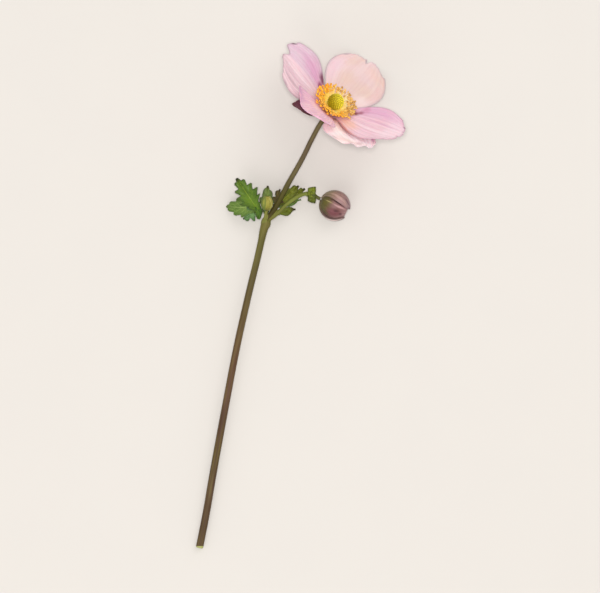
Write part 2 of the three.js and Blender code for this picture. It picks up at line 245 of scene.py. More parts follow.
def group(name, inputs, output="Mask"):
    # an empty node group with named number inputs and one number output
    tree = bpy.data.node_groups.new(name, "ShaderNodeTree")
    for key, value in inputs.items():
        kind = 'NodeSocketVector' if value is None else 'NodeSocketFloat'
        made = tree.interface.new_socket(name=key, in_out='INPUT', socket_type=kind)
        if value is not None:
            made.default_value = value
    tree.interface.new_socket(name=output, in_out='OUTPUT', socket_type='NodeSocketFloat')
    return tree, tree.nodes.new("NodeGroupInput").outputs, tree.nodes.new("NodeGroupOutput").inputs


def useGroup(tree, effect, inputs):
    return node(tree, "ShaderNodeGroup", inputs, node_tree=effect).outputs[0]


def newMaterial(name):
    material = bpy.data.materials.new(name)
    material.use_nodes = True
    tree = material.node_tree
    return material, tree, tree.nodes["Principled BSDF"]


def coat(piece, material):
    piece.data.materials.clear()
    piece.data.materials.append(material)


# effects that several materials share, with what stays the same in each of them
effects = {
    "longVeins": {"drift": (4.0, 2.2), "edge": (0.34, 0.5)},
    "longStreaks": {"stretch": 2.5, "detail": 4.0, "roughness": 0.55, "edge": (0.32, 0.68)},
    "bladeRim": {"fuzz": 9.0, "least": 0.5},
    "softBlotches": {"edge": (0.38, 0.66)},
    "softSpot": {"fuzz": 14.0, "raggedness": 0.55, "edge": (1.1, 0.15)},
}


def drawnOut(tree, place, across, along, seed, detail=3.0, roughness=0.5):
    # noise on a blade's map, finer across it than along it
    parts = split(tree, place)
    moved = node(tree, "ShaderNodeCombineXYZ", {
        0: times(tree, parts[0], across), 1: times(tree, parts[1], along), 2: seed}).outputs[0]
    return clouds(tree, moved, 1.0, detail, roughness)


# wavering veins that run up a blade from its foot
veins, put, out = group("longVeins", {"Place": None, "Count": 20.0, "Waver": 1.0, "Seed": 0.0})
look = effects["longVeins"]
drift = drawnOut(veins, put["Place"], *look["drift"], put["Seed"])
lane = maths(veins, 'ADD', times(veins, split(veins, put["Place"])[0], put["Count"]),
             times(veins, drift, put["Waver"]))
ridge = maths(veins, 'ABSOLUTE', maths(veins, 'SUBTRACT', maths(veins, 'FRACT', lane), 0.5))
veins.links.new(step(veins, ridge, *look["edge"]), out["Mask"])

# soft streaks along a blade
streaks, put, out = group("longStreaks", {"Place": None, "Fineness": 20.0, "Seed": 0.0})
look = effects["longStreaks"]
grain = drawnOut(streaks, put["Place"], put["Fineness"], look["stretch"], put["Seed"],
                 look["detail"], look["roughness"])
streaks.links.new(step(streaks, grain, *look["edge"]), out["Mask"])

# the rim of a blade, from its two long edges and its tip
rim, put, out = group("bladeRim", {"Place": None, "Width": 0.04})
look = effects["bladeRim"]
parts = split(rim, put["Place"])
nearest = maths(rim, 'MINIMUM', maths(rim, 'MINIMUM', parts[0], maths(rim, 'SUBTRACT', 1.0, parts[0])),
                maths(rim, 'SUBTRACT', 1.0, parts[1]))
fuzz = clouds(rim, put["Place"], look["fuzz"])
reach = times(rim, put["Width"], maths(rim, 'ADD', fuzz, look["least"]))
rim.links.new(maths(rim, 'SUBTRACT', 1.0, maths(rim, 'DIVIDE', nearest, reach, clamp=True)), out["Mask"])

# soft blotches on any surface
blotch, put, out = group("softBlotches", {"Place": None, "Scale": 4.0, "Seed": 0.0})
shift = node(blotch, "ShaderNodeCombineXYZ", {2: put["Seed"]}).outputs[0]
moved = node(blotch, "ShaderNodeVectorMath", {0: put["Place"], 1: shift}, operation='ADD').outputs[0]
cloud = clouds(blotch, moved, put["Scale"])
blotch.links.new(step(blotch, cloud, *effects["softBlotches"]["edge"]), out["Mask"])

# one soft spot with a ragged edge at a place on a blade
spot, put, out = group("softSpot", {"Place": None, "Across": 0.5, "Along": 0.5, "Width": 0.1, "Length": 0.1})
look = effects["softSpot"]
parts = split(spot, put["Place"])
farAcross = maths(spot, 'DIVIDE', maths(spot, 'SUBTRACT', parts[0], put["Across"]), put["Width"])
farAlong = maths(spot, 'DIVIDE', maths(spot, 'SUBTRACT', parts[1], put["Along"]), put["Length"])
apart = maths(spot, 'SQRT', maths(spot, 'ADD', times(spot, farAcross, farAcross),
                                  times(spot, farAlong, farAlong)))
ragged = maths(spot, 'SUBTRACT', clouds(spot, put["Place"], look["fuzz"]), 0.5)
apart = maths(spot, 'ADD', apart, times(spot, ragged, look["raggedness"]))
spot.links.new(step(spot, apart, *look["edge"]), out["Mask"])


def addMarks(tree, place, colour, marks):
    # a mark is a soft spot: across, along, width, length, colour and strength
    for across, along, width, length, tint, share in marks:
        mark = useGroup(tree, spot, {
            "Place": place, "Across": across, "Along": along, "Width": width, "Length": length})
        colour = blendColour(tree, times(tree, mark, share), colour, tint)
    return colour


print("shared effects made")

# petals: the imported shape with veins, pleats and a wavy edge

petalShape = {
    "thickness": 0.3, "clearance": 0.06, "grid": (60, 64), "seeds": (0.6, 1.7, 4), "claw": 3.2,
    "clawWidth": 0.3, "broadest": 0.62, "roundness": 0.16, "layer": (1.05, 3), "foldStart": 1.5,
    "nicks": ((0.006, 11, 1), (0.004, 27, 2)), "midrib": (0.16, 0.07, 1.1), "pleats": (0.07, 31, 2),
    "waves": 15, "swell": (0.45, 1.7, 2.3),
}
petalSkin = {
    "veins": (17.0, 2.2), "fineness": 24.0, "blotches": 2.6, "rimWidth": 0.035, "rimShare": 0.6,
    "sway": 0.12, "veinFade": (1.0, 0.3, 0.25), "footSpan": (0.3, 0.06, 0.0, 0.8),
    "relief": (0.6, 0.4), "bump": (0.25, 0.15), "gloss": (0.0, 1.0, 0.53, 0.7),
    "specular": 0.3, "sheen": 0.1, "subsurface": 0.35, "scatter": (0.28, 0.2, 0.2),
}
# cup is the lean towards the bloom's axis at root and tip, level the layer a petal lies in, and curl
# the turning up of its two edges. A notch has a place across, a width and a depth. Shares are those
# of blotches, streaks and veins, and deepFrom is where across the deeper colour sets in and is full.
petals = {
    "petal_far": {
        "angle": 85, "length": 31.15, "width": 29.5, "cup": (13, 16.4), "level": 1.85,
        "curl": (0.26, 0.22), "shoulder": 1.0, "ruffle": 0.12,
        "notches": [(0.12, 0.07, 0.06), (-0.2, 0.22, -0.03), (0.75, 0.4, -0.01)],
        "pale": (215, 190, 189), "deep": (213, 188, 186), "vein": (198, 162, 165),
        "blotch": (207, 179, 158), "rim": (170, 153, 163), "deepFrom": (0.8, 0.3),
        "foot": (218, 195, 189), "shares": (0.5, 0.3, 0.3),
        "marks": [
            (0.6, 0.98, 0.05, 0.03, (142, 135, 141), 0.7), (0.97, 0.92, 0.04, 0.06, (151, 143, 145), 0.6),
            (0.35, 0.82, 0.2, 0.12, (218, 185, 179), 0.5), (0.16, 0.3, 0.2, 0.2, (222, 203, 200), 0.6),
            (0.62, 0.5, 0.2, 0.25, (207, 178, 158), 0.5), (0.9, 0.6, 0.14, 0.4, (216, 186, 197), 0.6),
            (0.1, 0.6, 0.1, 0.3, (211, 174, 172), 0.5)]},
    "petal_right": {
        "angle": -8, "length": 34.5, "width": 30, "cup": (23, 25), "level": 1.0,
        "curl": (0.12, 0.1), "notches": [(-0.2, 0.12, 0.03)], "ruffle": 0.3,
        "pale": (231, 197, 206), "deep": (218, 175, 197), "vein": (197, 139, 168),
        "blotch": (225, 188, 192), "rim": (166, 129, 146), "deepFrom": (0.5, 0.95),
        "foot": (192, 122, 148), "shares": (0.4, 0.25, 0.55),
        "marks": [
            # the dark wedge at the upper base (0.9, 0.78 and 0.7 across) is partly the petal's deep base
            # colour and partly painted shade beside petal_far's edge
            (0.86, 0.5, 0.22, 0.4, (210, 158, 189), 0.6), (0.9, 0.35, 0.2, 0.07, (196, 122, 152), 0.5),
            (0.78, 0.3, 0.1, 0.05, (150, 74, 96), 0.75), (0.7, 0.24, 0.13, 0.07, (126, 46, 50), 0.95),
            (0.2, 0.3, 0.24, 0.22, (231, 182, 163), 0.85), (0.5, 0.88, 0.5, 0.22, (234, 212, 219), 0.6),
            # the orange-brown line along the edge at 0.0 across is painted shadow in the crease where this
            # petal lies over petal_low
            (0.0, 0.38, 0.07, 0.36, (190, 92, 54), 0.95), (0.36, 0.62, 0.05, 0.45, (232, 208, 214), 0.6),
            (0.78, 0.985, 0.05, 0.04, (140, 111, 122), 0.8), (0.6, 0.65, 0.05, 0.4, (205, 149, 178), 0.5)]},
    "petal_low": {
        "angle": 314, "length": 32.3, "width": 25.2, "cup": (18.5, 26.5), "level": 0.0,
        "curl": (0.06, 0.02), "notches": [(0.32, 0.1, 0.04), (-0.2, 0.55, 0.075)], "frill": (0.6, 2.5),
        "rootDrop": 1.0, "ruffle": 0.35,
        "pale": (255, 238, 236), "deep": (255, 236, 238), "vein": (236, 196, 204),
        "blotch": (252, 228, 214), "rim": (198, 168, 180), "deepFrom": (0.3, 0.8),
        # the orange-brown foot is painted shade cast by the stamens
        "foot": (214, 130, 98), "shares": (0.3, 0.14, 0.3),
        "marks": [
            # the beige lower-left end (0.16 across) is painted shade on the part the lamps light most, and
            # the near-white marks at 0.78 and 0.56 across are painted light where petal_right shades this
            # petal
            (0.05, 0.82, 0.06, 0.08, (150, 134, 140), 0.6), (0.16, 0.94, 0.34, 0.3, (232, 196, 192), 0.75),
            (0.34, 0.86, 0.16, 0.12, (240, 216, 206), 0.6), (0.78, 0.8, 0.2, 0.2, (255, 246, 248), 0.9),
            (0.5, 0.91, 0.13, 0.09, (200, 164, 168), 0.7), (0.56, 0.66, 0.1, 0.2, (255, 246, 244), 0.8),
            (0.93, 0.8, 0.06, 0.12, (196, 150, 184), 0.8), (0.46, 0.32, 0.16, 0.3, (250, 196, 180), 0.6),
            # the orange-brown line at 0.54 across is painted shadow in the crease under petal_right's edge,
            # and the brown band at 0.08 along is painted shade cast by the stamens
            (0.54, 0.34, 0.06, 0.26, (196, 92, 52), 0.95), (0.5, 0.08, 0.4, 0.1, (150, 84, 48), 0.8)]},
    "petal_near": {
        "angle": 251, "length": 31.5, "width": 25, "cup": (20, 32), "level": 1.0,
        "curl": (0.38, 0.2), "notches": [(0.1, 0.12, 0.03)], "ruffle": 0.3, "tipWidth": 0.5,
        "pale": (243, 198, 212), "deep": (227, 175, 202), "vein": (201, 140, 175),
        "blotch": (241, 195, 194), "rim": (197, 146, 175), "deepFrom": (0.5, -0.2),
        # the orange-brown foot is painted shadow cast by the stamens
        "foot": (193, 109, 73), "shares": (0.4, 0.35, 0.55),
        "marks": [
            (0.12, 0.8, 0.22, 0.3, (203, 142, 187), 0.8), (0.4, 0.36, 0.2, 0.12, (247, 198, 187), 0.6),
            # the orange-brown band at 0.7 across, 0.17 along, is painted shadow cast by the stamens
            (0.7, 0.17, 0.4, 0.07, (162, 89, 49), 0.9), (0.75, 0.7, 0.05, 0.3, (211, 154, 192), 0.6),
            (0.3, 0.7, 0.05, 0.3, (213, 154, 192), 0.5)]},
    "petal_left": {
        "angle": 178.5, "length": 34.5, "width": 25.4, "cup": (24, 15), "level": 0.0,
        "curl": (0.1, 0.04), "twist": 19, "fold": 1.2,
        "notches": [(-0.27, 0.17, 0.115), (-0.02, 0.14, 0.03), (0.6, 0.7, 0.17)], "ruffle": 0.3,
        # the deeper half is partly the petal's own colour and partly painted shade on the half that faces
        # away
        "pale": (216, 189, 192), "deep": (205, 182, 193), "vein": (183, 132, 159),
        "blotch": (201, 174, 178), "rim": (150, 126, 136), "deepFrom": (0.44, 0.34),
        "foot": (186, 111, 143), "shares": (0.45, 0.35, 0.5),
        "marks": [
            # the magenta patch at 0.2 across is partly the petal's colour and partly painted shade; the dark
            # purple marks at 0.04 across and at 0.2 across, 0.25 along, are painted shadow cast by petal_far
            # near the base
            (0.2, 0.42, 0.2, 0.42, (200, 122, 170), 0.45), (0.04, 0.31, 0.12, 0.13, (108, 46, 73), 0.95),
            # the pale streak at 0.54 across is a painted highlight on the crease of the fold
            (0.2, 0.25, 0.14, 0.07, (136, 60, 93), 0.9), (0.54, 0.55, 0.06, 0.6, (225, 198, 205), 0.85),
            (0.12, 0.985, 0.06, 0.04, (86, 72, 80), 0.95), (0.8, 0.7, 0.05, 0.3, (172, 142, 150), 0.6),
            (0.97, 0.84, 0.04, 0.12, (159, 130, 139), 0.6)]},
    "petal_outer": {
        "slot": "outer_petal", "back": {},
        "angle": 226.5, "length": 19.5, "width": 9.8, "cup": (13, 12), "level": -1.0,
        "curl": (0.04, 0.04), "notches": [], "rootDrop": 1.0, "tipWidth": 0.3, "ruffle": 0.1,
        "pale": (117, 61, 78), "deep": (92, 42, 61), "vein": (71, 31, 44),
        "blotch": (123, 78, 66), "rim": (88, 66, 44), "deepFrom": (0.2, 0.9),
        "foot": (106, 78, 47), "shares": (0.4, 0.3, 0.4), "marks": []},
}
backs = {"pale": (237, 186, 205), "deep": (217, 151, 182), "vein": (185, 109, 150), "marks": []}
usualPetal = {"shoulder": 1.6, "tipWidth": 0.68, "rootDrop": 0, "twist": 0, "fold": 0, "frill": (0, 0),
              "slot": "petal", "back": backs}


def widthShape(v, shoulder, tipWidth):
    # a narrow claw, then broad, then rounded in
    claw, broadest = petalShape["clawWidth"], petalShape["broadest"]
    if v < broadest:
        return claw + (1 - claw) * math.sin(math.pi / 2 * v / broadest) ** shoulder
    return 1 - (1 - tipWidth) * ((v - broadest) / (1 - broadest)) ** 2


def petalSurface(petal, seed):
    angle = math.radians(petal["angle"])
    outward = bloomDirection(angle)
    crosswise = bloomDirection(angle + math.pi / 2)
    rootCup, tipCup = (math.radians(value) for value in petal["cup"])
    bend = (tipCup - rootCup) / petal["length"]
    turn = math.radians(petal["twist"])
    layerHeight, layerRun = petalShape["layer"]
    frillHeight, frillCount = petal["frill"]
    ribDepth, ribWidth, ribRun = petalShape["midrib"]
    pleatHeight, pleatCount, pleatRun = petalShape["pleats"]
    swellHeight, swellAcross, swellAlong = petalShape["swell"]

    def surface(u, v):
        share = 1 - petalShape["roundness"] * u * u
        for place, width, depth in petal["notches"]:
            share -= depth * math.exp(-((u - place) / width) ** 2)
        for depth, count, shift in petalShape["nicks"]:
            share += depth * math.sin(count * u + shift * seed)
        along = v * petal["length"] * share
        cup = rootCup + bend * along
        reach = petalShape["claw"] + (math.sin(cup) - math.sin(rootCup)) / bend
        rise = (math.cos(rootCup) - math.cos(cup)) / bend - petal["rootDrop"]
        across = petal["width"] / 2 * u * widthShape(v, petal["shoulder"], petal["tipWidth"])
        lift = petal["level"] * layerHeight * ease(along / layerRun)
        lift -= across * math.sin(turn * v)
        lift += petal["curl"][0 if u < 0 else 1] * v * abs(across * u)
        lift -= petal["fold"] * ease(v * petalShape["foldStart"]) * (1 - abs(u)) ** 2
        lift += frillHeight * v ** 4 * math.sin(frillCount * math.pi * u)
        # what the thicker solid leaves out: a faint midrib, pleats and a wavy edge
        lift -= ribDepth * math.exp(-(u / ribWidth) ** 2) * math.sin(math.pi * min(v * ribRun, 1))
        lift += pleatHeight * math.sin(pleatCount * u + seed) * ease(v * pleatRun)
        lift += petal["ruffle"] * v ** 3 * abs(u) ** 3 * math.sin(petalShape["waves"] * v + seed + 2 * u)
        lift += swellHeight * v * v * noise.noise(Vector((u * swellAcross + seed, v * swellAlong, seed)))
        inward = axis * math.cos(cup) - outward * math.sin(cup)
        place = (bloom["centre"] + outward * reach + crosswise * across * math.cos(turn * v)
                 + axis * rise + inward * lift)
        point = at(place)
        # a tip that rests on the table is kept flat on it
        point.z = max(point.z, (petalShape["thickness"] + petalShape["clearance"]) * mm)
        return point

    return surface


def petalMaterial(name, look, seed):
    material, tree, skin = newMaterial(name)
    place, parts = bladePlace(tree)
    count, waver = petalSkin["veins"]
    lines = useGroup(tree, veins, {"Place": place, "Count": count, "Waver": waver, "Seed": seed})
    fine = useGroup(tree, streaks, {"Place": place, "Fineness": petalSkin["fineness"], "Seed": seed})
    cloud = useGroup(tree, blotch, {"Place": place, "Scale": petalSkin["blotches"], "Seed": seed})
    edge = useGroup(tree, rim, {"Place": place, "Width": petalSkin["rimWidth"]})
    low, high = look["deepFrom"]
    rising = low < high
    blotchShare, streakShare, veinShare = look["shares"]
    sway = maths(tree, 'ADD', parts[0], times(tree, maths(tree, 'SUBTRACT', fine, 0.5), petalSkin["sway"]))
    tone = step(tree, sway, min(low, high), max(low, high), float(not rising), float(rising))
    colour = blendColour(tree, tone, look["pale"], look["deep"])
    colour = blendColour(tree, times(tree, cloud, blotchShare), colour, look["blotch"])
    colour = blendColour(tree, times(tree, fine, streakShare), colour, look["vein"])
    fadeStart, fadeEnd, faintest = petalSkin["veinFade"]
    faint = times(tree, lines, step(tree, parts[1], fadeStart, fadeEnd, veinShare * faintest, veinShare))
    colour = blendColour(tree, faint, colour, look["vein"])
    colour = blendColour(tree, step(tree, parts[1], *petalSkin["footSpan"]), colour, look["foot"])
    colour = addMarks(tree, place, colour, look["marks"])
    colour = blendColour(tree, times(tree, edge, petalSkin["rimShare"]), colour, look["rim"])
    lineRelief, streakRelief = petalSkin["relief"]
    relief = maths(tree, 'ADD', times(tree, lines, lineRelief), times(tree, fine, streakRelief))
    strength, depth = petalSkin["bump"]
    bump = node(tree, "ShaderNodeBump", {"Height": relief, "Strength": strength, "Distance": depth * mm})
    feed(tree, skin, {
        "Base Color": colour, "Normal": bump.outputs[0], "Roughness": step(tree, fine, *petalSkin["gloss"]),
        "Sheen Weight": petalSkin["sheen"], "Specular IOR Level": petalSkin["specular"],
        "Subsurface Weight": petalSkin["subsurface"], "Subsurface Scale": 1.0,
        "Subsurface Radius": Vector(petalSkin["scatter"]) * mm})
    return material


firstSeed, seedStep, backSeed = petalShape["seeds"]
for index, (name, own) in enumerate(petals.items()):
    petal = {**usualPetal, **own}
    seed = seedStep * index + firstSeed
    piece = sheetOf(name + "_blade", petalSurface(petal, seed), *petalShape["grid"])
    piece.data.materials.append(petalMaterial(name + "_face", petal, seed))
    piece.data.materials.append(petalMaterial(name + "_back", {**petal, **petal["back"]}, seed + backSeed))
    turnOver(piece)
    finish(piece, 'SOLIDIFY', thickness=petalShape["thickness"] * mm, offset=-1, material_offset=1)
    smooth(piece)
    dress(piece, petal["slot"], name)
print("petals:", len(petals))

# stamens round the ball of carpels

stamens = {
    "seed": 7,
    # each ring: how many, how long, their lean and how far out their feet stand
    "rings": [(37, 7.7, 26, 3.45), (37, 7.4, 31, 3.4), (35, 7.0, 37, 3.3), (33, 6.5, 44, 3.2),
              (24, 5.7, 52, 3.15)],
    "filament": (0.19, 0.13), "anther": (0.56, 0.86, 0.46), "furrow": (0.28, 0.35),
    "footHeight": 1.75, "droop": (1.1, 30), "fineness": 0.34,
    # how much each one may differ, either way or from and to
    "spacing": 0.22, "leaning": 5, "lengths": (0.88, 1.03), "footing": 0.2, "bow": (0.2, 0.9),
    "sway": 0.5, "swing": 35, "nod": 25, "sizes": (0.85, 1.08),
}
collar = {"radii": (2.5, 3.6), "height": 1.775}
bed = {"inner": 2.6, "width": 3.4, "height": 1.7, "lean": 30, "furrows": 46, "relief": (0.12, 1.2),
       "thickness": 0.25, "merge": 0.01, "grid": (276, 8)}


def within(dice, spread):
    # a random number between two ends, or up to one number either way
    low, high = spread if isinstance(spread, tuple) else (-spread, spread)
    return dice.uniform(low, high)


def oneStamen():
    # the filament stands on its foot along +Z with length 1 and the anther is a separate object
    bpy.ops.mesh.primitive_cylinder_add(vertices=5, radius=1, depth=1, location=(0, 0, 0.5),
                                        end_fill_type='NOTHING')
    filament = bpy.context.object
    bpy.ops.object.mode_set(mode='EDIT')
    bpy.ops.mesh.select_all(action='SELECT')
    bpy.ops.mesh.subdivide(number_cuts=1)
    bpy.ops.object.mode_set(mode='OBJECT')
    bpy.ops.object.transform_apply(location=True, rotation=True, scale=True)
    bpy.ops.mesh.primitive_uv_sphere_add(segments=8, ring_count=6, radius=1)
    anther = bpy.context.object
    width, depth = stamens["furrow"]
    for vertex in anther.data.vertices:
        # two pollen sacs with a furrow between them
        vertex.co.y *= 1 - depth * math.exp(-(vertex.co.x / width) ** 2)
    return filament, anther


def growStamens():
    dice = random.Random(stamens["seed"])
    filament, anther = oneStamen()
    filamentStarts = startsOf(filament)
    antherStarts = startsOf(anther)
    thick, thin = stamens["filament"]
    wide, long, deep = stamens["anther"]
    droop, droopFrom = stamens["droop"]
    filaments, anthers = [], []
    for ringIndex, (count, length, lean, foot) in enumerate(stamens["rings"]):
        for k in range(count):
            angle = 2 * math.pi * (k + 0.5 * (ringIndex % 2) + within(dice, stamens["spacing"])) / count
            outward = bloomDirection(angle)
            # the stamens on the upper side droop clear of the ball, those below have finer anthers
            above, below = max(0, outward.z), max(0, -outward.z)
            tilt = math.radians(lean - droop * max(0, lean - droopFrom) * above
                                + within(dice, stamens["leaning"]))
            reach = length * within(dice, stamens["lengths"])
            root = bloomPlace(angle, foot + within(dice, stamens["footing"]), stamens["footHeight"])
            leaning = outward * math.cos(tilt) + axis * math.sin(tilt)
            rising = axis * math.cos(tilt) - outward * math.sin(tilt)
            across = leaning.cross(rising)
            bow = within(dice, stamens["bow"])
            sway = within(dice, stamens["sway"])

            def along(t):
                return root + leaning * (reach * t) + rising * (bow * t * t) + across * (sway * t * t)

            copy = twin(filament)
            for vertex, start in zip(copy.data.vertices, filamentStarts):
                radius = thick + (thin - thick) * start.z
                vertex.co = at(along(start.z) + across * (start.x * radius) + rising * (start.y * radius))
            filaments.append(copy)
            copy = twin(anther)
            swing = math.radians(within(dice, stamens["swing"]))
            nod = math.radians(within(dice, stamens["nod"]))
            pointing = leaning * math.cos(swing) + across * math.sin(swing)
            pointing = (pointing * math.cos(nod) + rising * math.sin(nod)).normalized()
            flank = pointing.cross(rising).normalized()
            top = flank.cross(pointing)
            size = within(dice, stamens["sizes"]) * (1 - stamens["fineness"] * below)
            for vertex, start in zip(copy.data.vertices, antherStarts):
                vertex.co = at(along(1) + pointing * (start.z * long * size)
                               + flank * (start.x * wide * size) + top * (start.y * deep * size))
            anthers.append(copy)
    bpy.data.objects.remove(filament)
    bpy.data.objects.remove(anther)
    return filaments, anthers


def collarRing():
    # the low ring that the filaments grow from
    inner, outer = collar["radii"]
    bpy.ops.mesh.primitive_torus_add(major_radius=(inner + outer) / 2, minor_radius=(outer - inner) / 2,
                                     major_segments=48, minor_segments=12)
    ring = bpy.context.object
    for vertex in ring.data.vertices:
        x, y, z = vertex.co
        vertex.co = at(bloom["centre"] + side * x + down * y + axis * (collar["height"] + z))
    return ring


def stamenBed():
    # a shallow furrowed cone, where the feet of the filaments crowd together
    slope = math.tan(math.radians(bed["lean"]))
    depth, run = bed["relief"]

    def surface(u, v):
        angle = math.pi * u
        out = v * bed["width"]
        lift = depth * math.cos(bed["furrows"] * angle) * math.sin(math.pi * min(v * run, 1))
        return at(bloomPlace(angle, bed["inner"] + out, bed["height"] + out * slope + lift))

    cone = sheetOf("stamen_bed", surface, *bed["grid"])
    finish(cone, 'WELD', merge_threshold=bed["merge"] * mm)
    finish(cone, 'SOLIDIFY', thickness=bed["thickness"] * mm, offset=-1)
    return cone


strands, tips = growStamens()
filaments = joined("stamen_filaments", strands + [collarRing(), stamenBed()])
anthers = joined("stamen_anthers", tips)
stamenSkin = {
    # the flesh, its blotches, and the same two paler, as painted light on the ring's sunward side
    "filaments": ((254, 220, 96), (252, 206, 70), (253, 240, 196), (246, 226, 158)),
    "anthers": ((244, 188, 42), (230, 150, 32), (226, 182, 112), (150, 112, 52)),
    "fine": (700.0, 2.0), "broad": (160.0, 5.0), "broadShare": 0.3, "sunward": (0.94, 0.34, 0),
    "paintedLight": (-1, 6), "paintedLightShare": 0.8, "grit": (4000.0, 2.0), "bump": (0.5, 0.08),
    "gloss": (0.3, 0.7, 0.65, 0.9), "subsurface": 0.15, "scatter": (0.6, 0.3, 0.1),
}
for piece, (flesh, blotches, sunny, sunnyBlotches) in ((filaments, stamenSkin["filaments"]),
                                               (anthers, stamenSkin["anthers"])):
    material, tree, skin = newMaterial(piece.name)
    place = objectPlace(tree)
    (fineScale, fineSeed), (broadScale, broadSeed) = stamenSkin["fine"], stamenSkin["broad"]
    cloud = useGroup(tree, blotch, {"Place": place, "Scale": fineScale, "Seed": fineSeed})
    broad = useGroup(tree, blotch, {"Place": place, "Scale": broadScale, "Seed": broadSeed})
    colour = blendColour(tree, cloud, flesh, blotches)
    colour = blendColour(tree, times(tree, broad, stamenSkin["broadShare"]), colour, sunny)
    # painted light: stamens on the sunward side of the head turn to the paler pair of colours
    sunward = node(tree, "ShaderNodeVectorMath", {0: fromHead(tree, place), 1: stamenSkin["sunward"]},
                   operation='DOT_PRODUCT').outputs["Value"]
    start, full = stamenSkin["paintedLight"]
    paintedLight = step(tree, sunward, start * mm, full * mm, 0.0, stamenSkin["paintedLightShare"])
    colour = blendColour(tree, paintedLight, colour, blendColour(tree, cloud, sunny, sunnyBlotches))
    feed(tree, skin, {
        "Base Color": colour, **uneven(tree, clouds(tree, place, *stamenSkin["grit"]), stamenSkin),
        "Subsurface Weight": stamenSkin["subsurface"],
        "Subsurface Radius": Vector(stamenSkin["scatter"]) * mm})
    coat(piece, material)
    smooth(piece)
    dress(piece, "stamen", "stamens")

carpels = {"radius": 3.45, "count": 230, "size": 0.4, "seed": 3, "sizes": (0.85, 1.1), "lean": 0.12,
           "point": 0.45, "height": 1.05}
carpelSkin = {
    "shade": (156, 132, 2), "sunny": (250, 230, 66), "blotch": (206, 186, 26), "furrow": (120, 108, 6),
    "turn": 3, "blotches": (500.0, 1.0), "blotchShare": 0.4, "furrows": (3.72, 3.48), "furrowShare": 0.7,
    "grit": (3000.0, 2.0), "bump": (0.3, 0.08), "gloss": (0.3, 0.7, 0.45, 0.65), "specular": 0.15,
    "subsurface": 0.2, "scatter": (0.6, 0.6, 0.2),
}


def growCarpels():
    dice = random.Random(carpels["seed"])
    bpy.ops.mesh.primitive_uv_sphere_add(segments=32, ring_count=20, radius=carpels["radius"])
    ball = bpy.context.object
    for vertex in ball.data.vertices:
        vertex.co = at(headCentre + vertex.co)
    bpy.ops.mesh.primitive_uv_sphere_add(segments=7, ring_count=5, radius=1)
    bead = bpy.context.object
    starts = startsOf(bead)
    beads = []
    for k in range(carpels["count"]):
        # places spread evenly over the ball by the golden angle
        level = 1 - 2 * (k + 0.5) / carpels["count"]
        turn = k * math.pi * (3 - math.sqrt(5))
        normal = bloomDirection(turn) * math.sqrt(1 - level * level) + axis * level
        copy = twin(bead)
        tangent = normal.orthogonal().normalized()
        other = normal.cross(tangent)
        size = carpels["size"] * within(dice, carpels["sizes"])
        lean = (axis - normal * axis.dot(normal)) * carpels["lean"]
        for vertex, start in zip(copy.data.vertices, starts):
            tip = max(start.z, 0) ** 2
            spread = size * (1 - carpels["point"] * tip)
            height = carpels["radius"] + size * carpels["height"] * start.z
            vertex.co = at(headCentre + normal * height + lean * tip
                           + tangent * (start.x * spread) + other * (start.y * spread))
        beads.append(copy)
    bpy.data.objects.remove(bead)
    return joined("carpels", [ball] + beads)


head = growCarpels()
material, tree, skin = newMaterial("carpel_skin")
place = objectPlace(tree)
centred = fromHead(tree, place)
sideways = split(tree, centred)[0]
fromCentre = node(tree, "ShaderNodeVectorMath", {0: centred}, operation='LENGTH').outputs["Value"]
scale, seed = carpelSkin["blotches"]
cloud = useGroup(tree, blotch, {"Place": place, "Scale": scale, "Seed": seed})
# painted light and shade: the head turns from the shade colour on its left to the sunny colour on its right
lit = step(tree, sideways, -carpelSkin["turn"] * mm, carpelSkin["turn"] * mm)
colour = blendColour(tree, lit, carpelSkin["shade"], carpelSkin["sunny"])
colour = blendColour(tree, times(tree, cloud, carpelSkin["blotchShare"]), colour, carpelSkin["blotch"])
# painted shade: where the surface lies close to the ball, between the carpels, it turns to the furrow colour
shallow, deep = carpelSkin["furrows"]
inFurrow = step(tree, fromCentre, shallow * mm, deep * mm, 0.0, carpelSkin["furrowShare"])
colour = blendColour(tree, inFurrow, colour, carpelSkin["furrow"])
feed(tree, skin, {
    "Base Color": colour, **uneven(tree, clouds(tree, place, *carpelSkin["grit"]), carpelSkin),
    "Specular IOR Level": carpelSkin["specular"], "Subsurface Weight": carpelSkin["subsurface"],
    "Subsurface Radius": Vector(carpelSkin["scatter"]) * mm})
coat(head, material)
smooth(head)
dress(head, "carpel", "carpel_head")
print("stamens:", sum(ring[0] for ring in stamens["rings"]), "carpels:", carpels["count"])

# stem and its three stalks, grown together

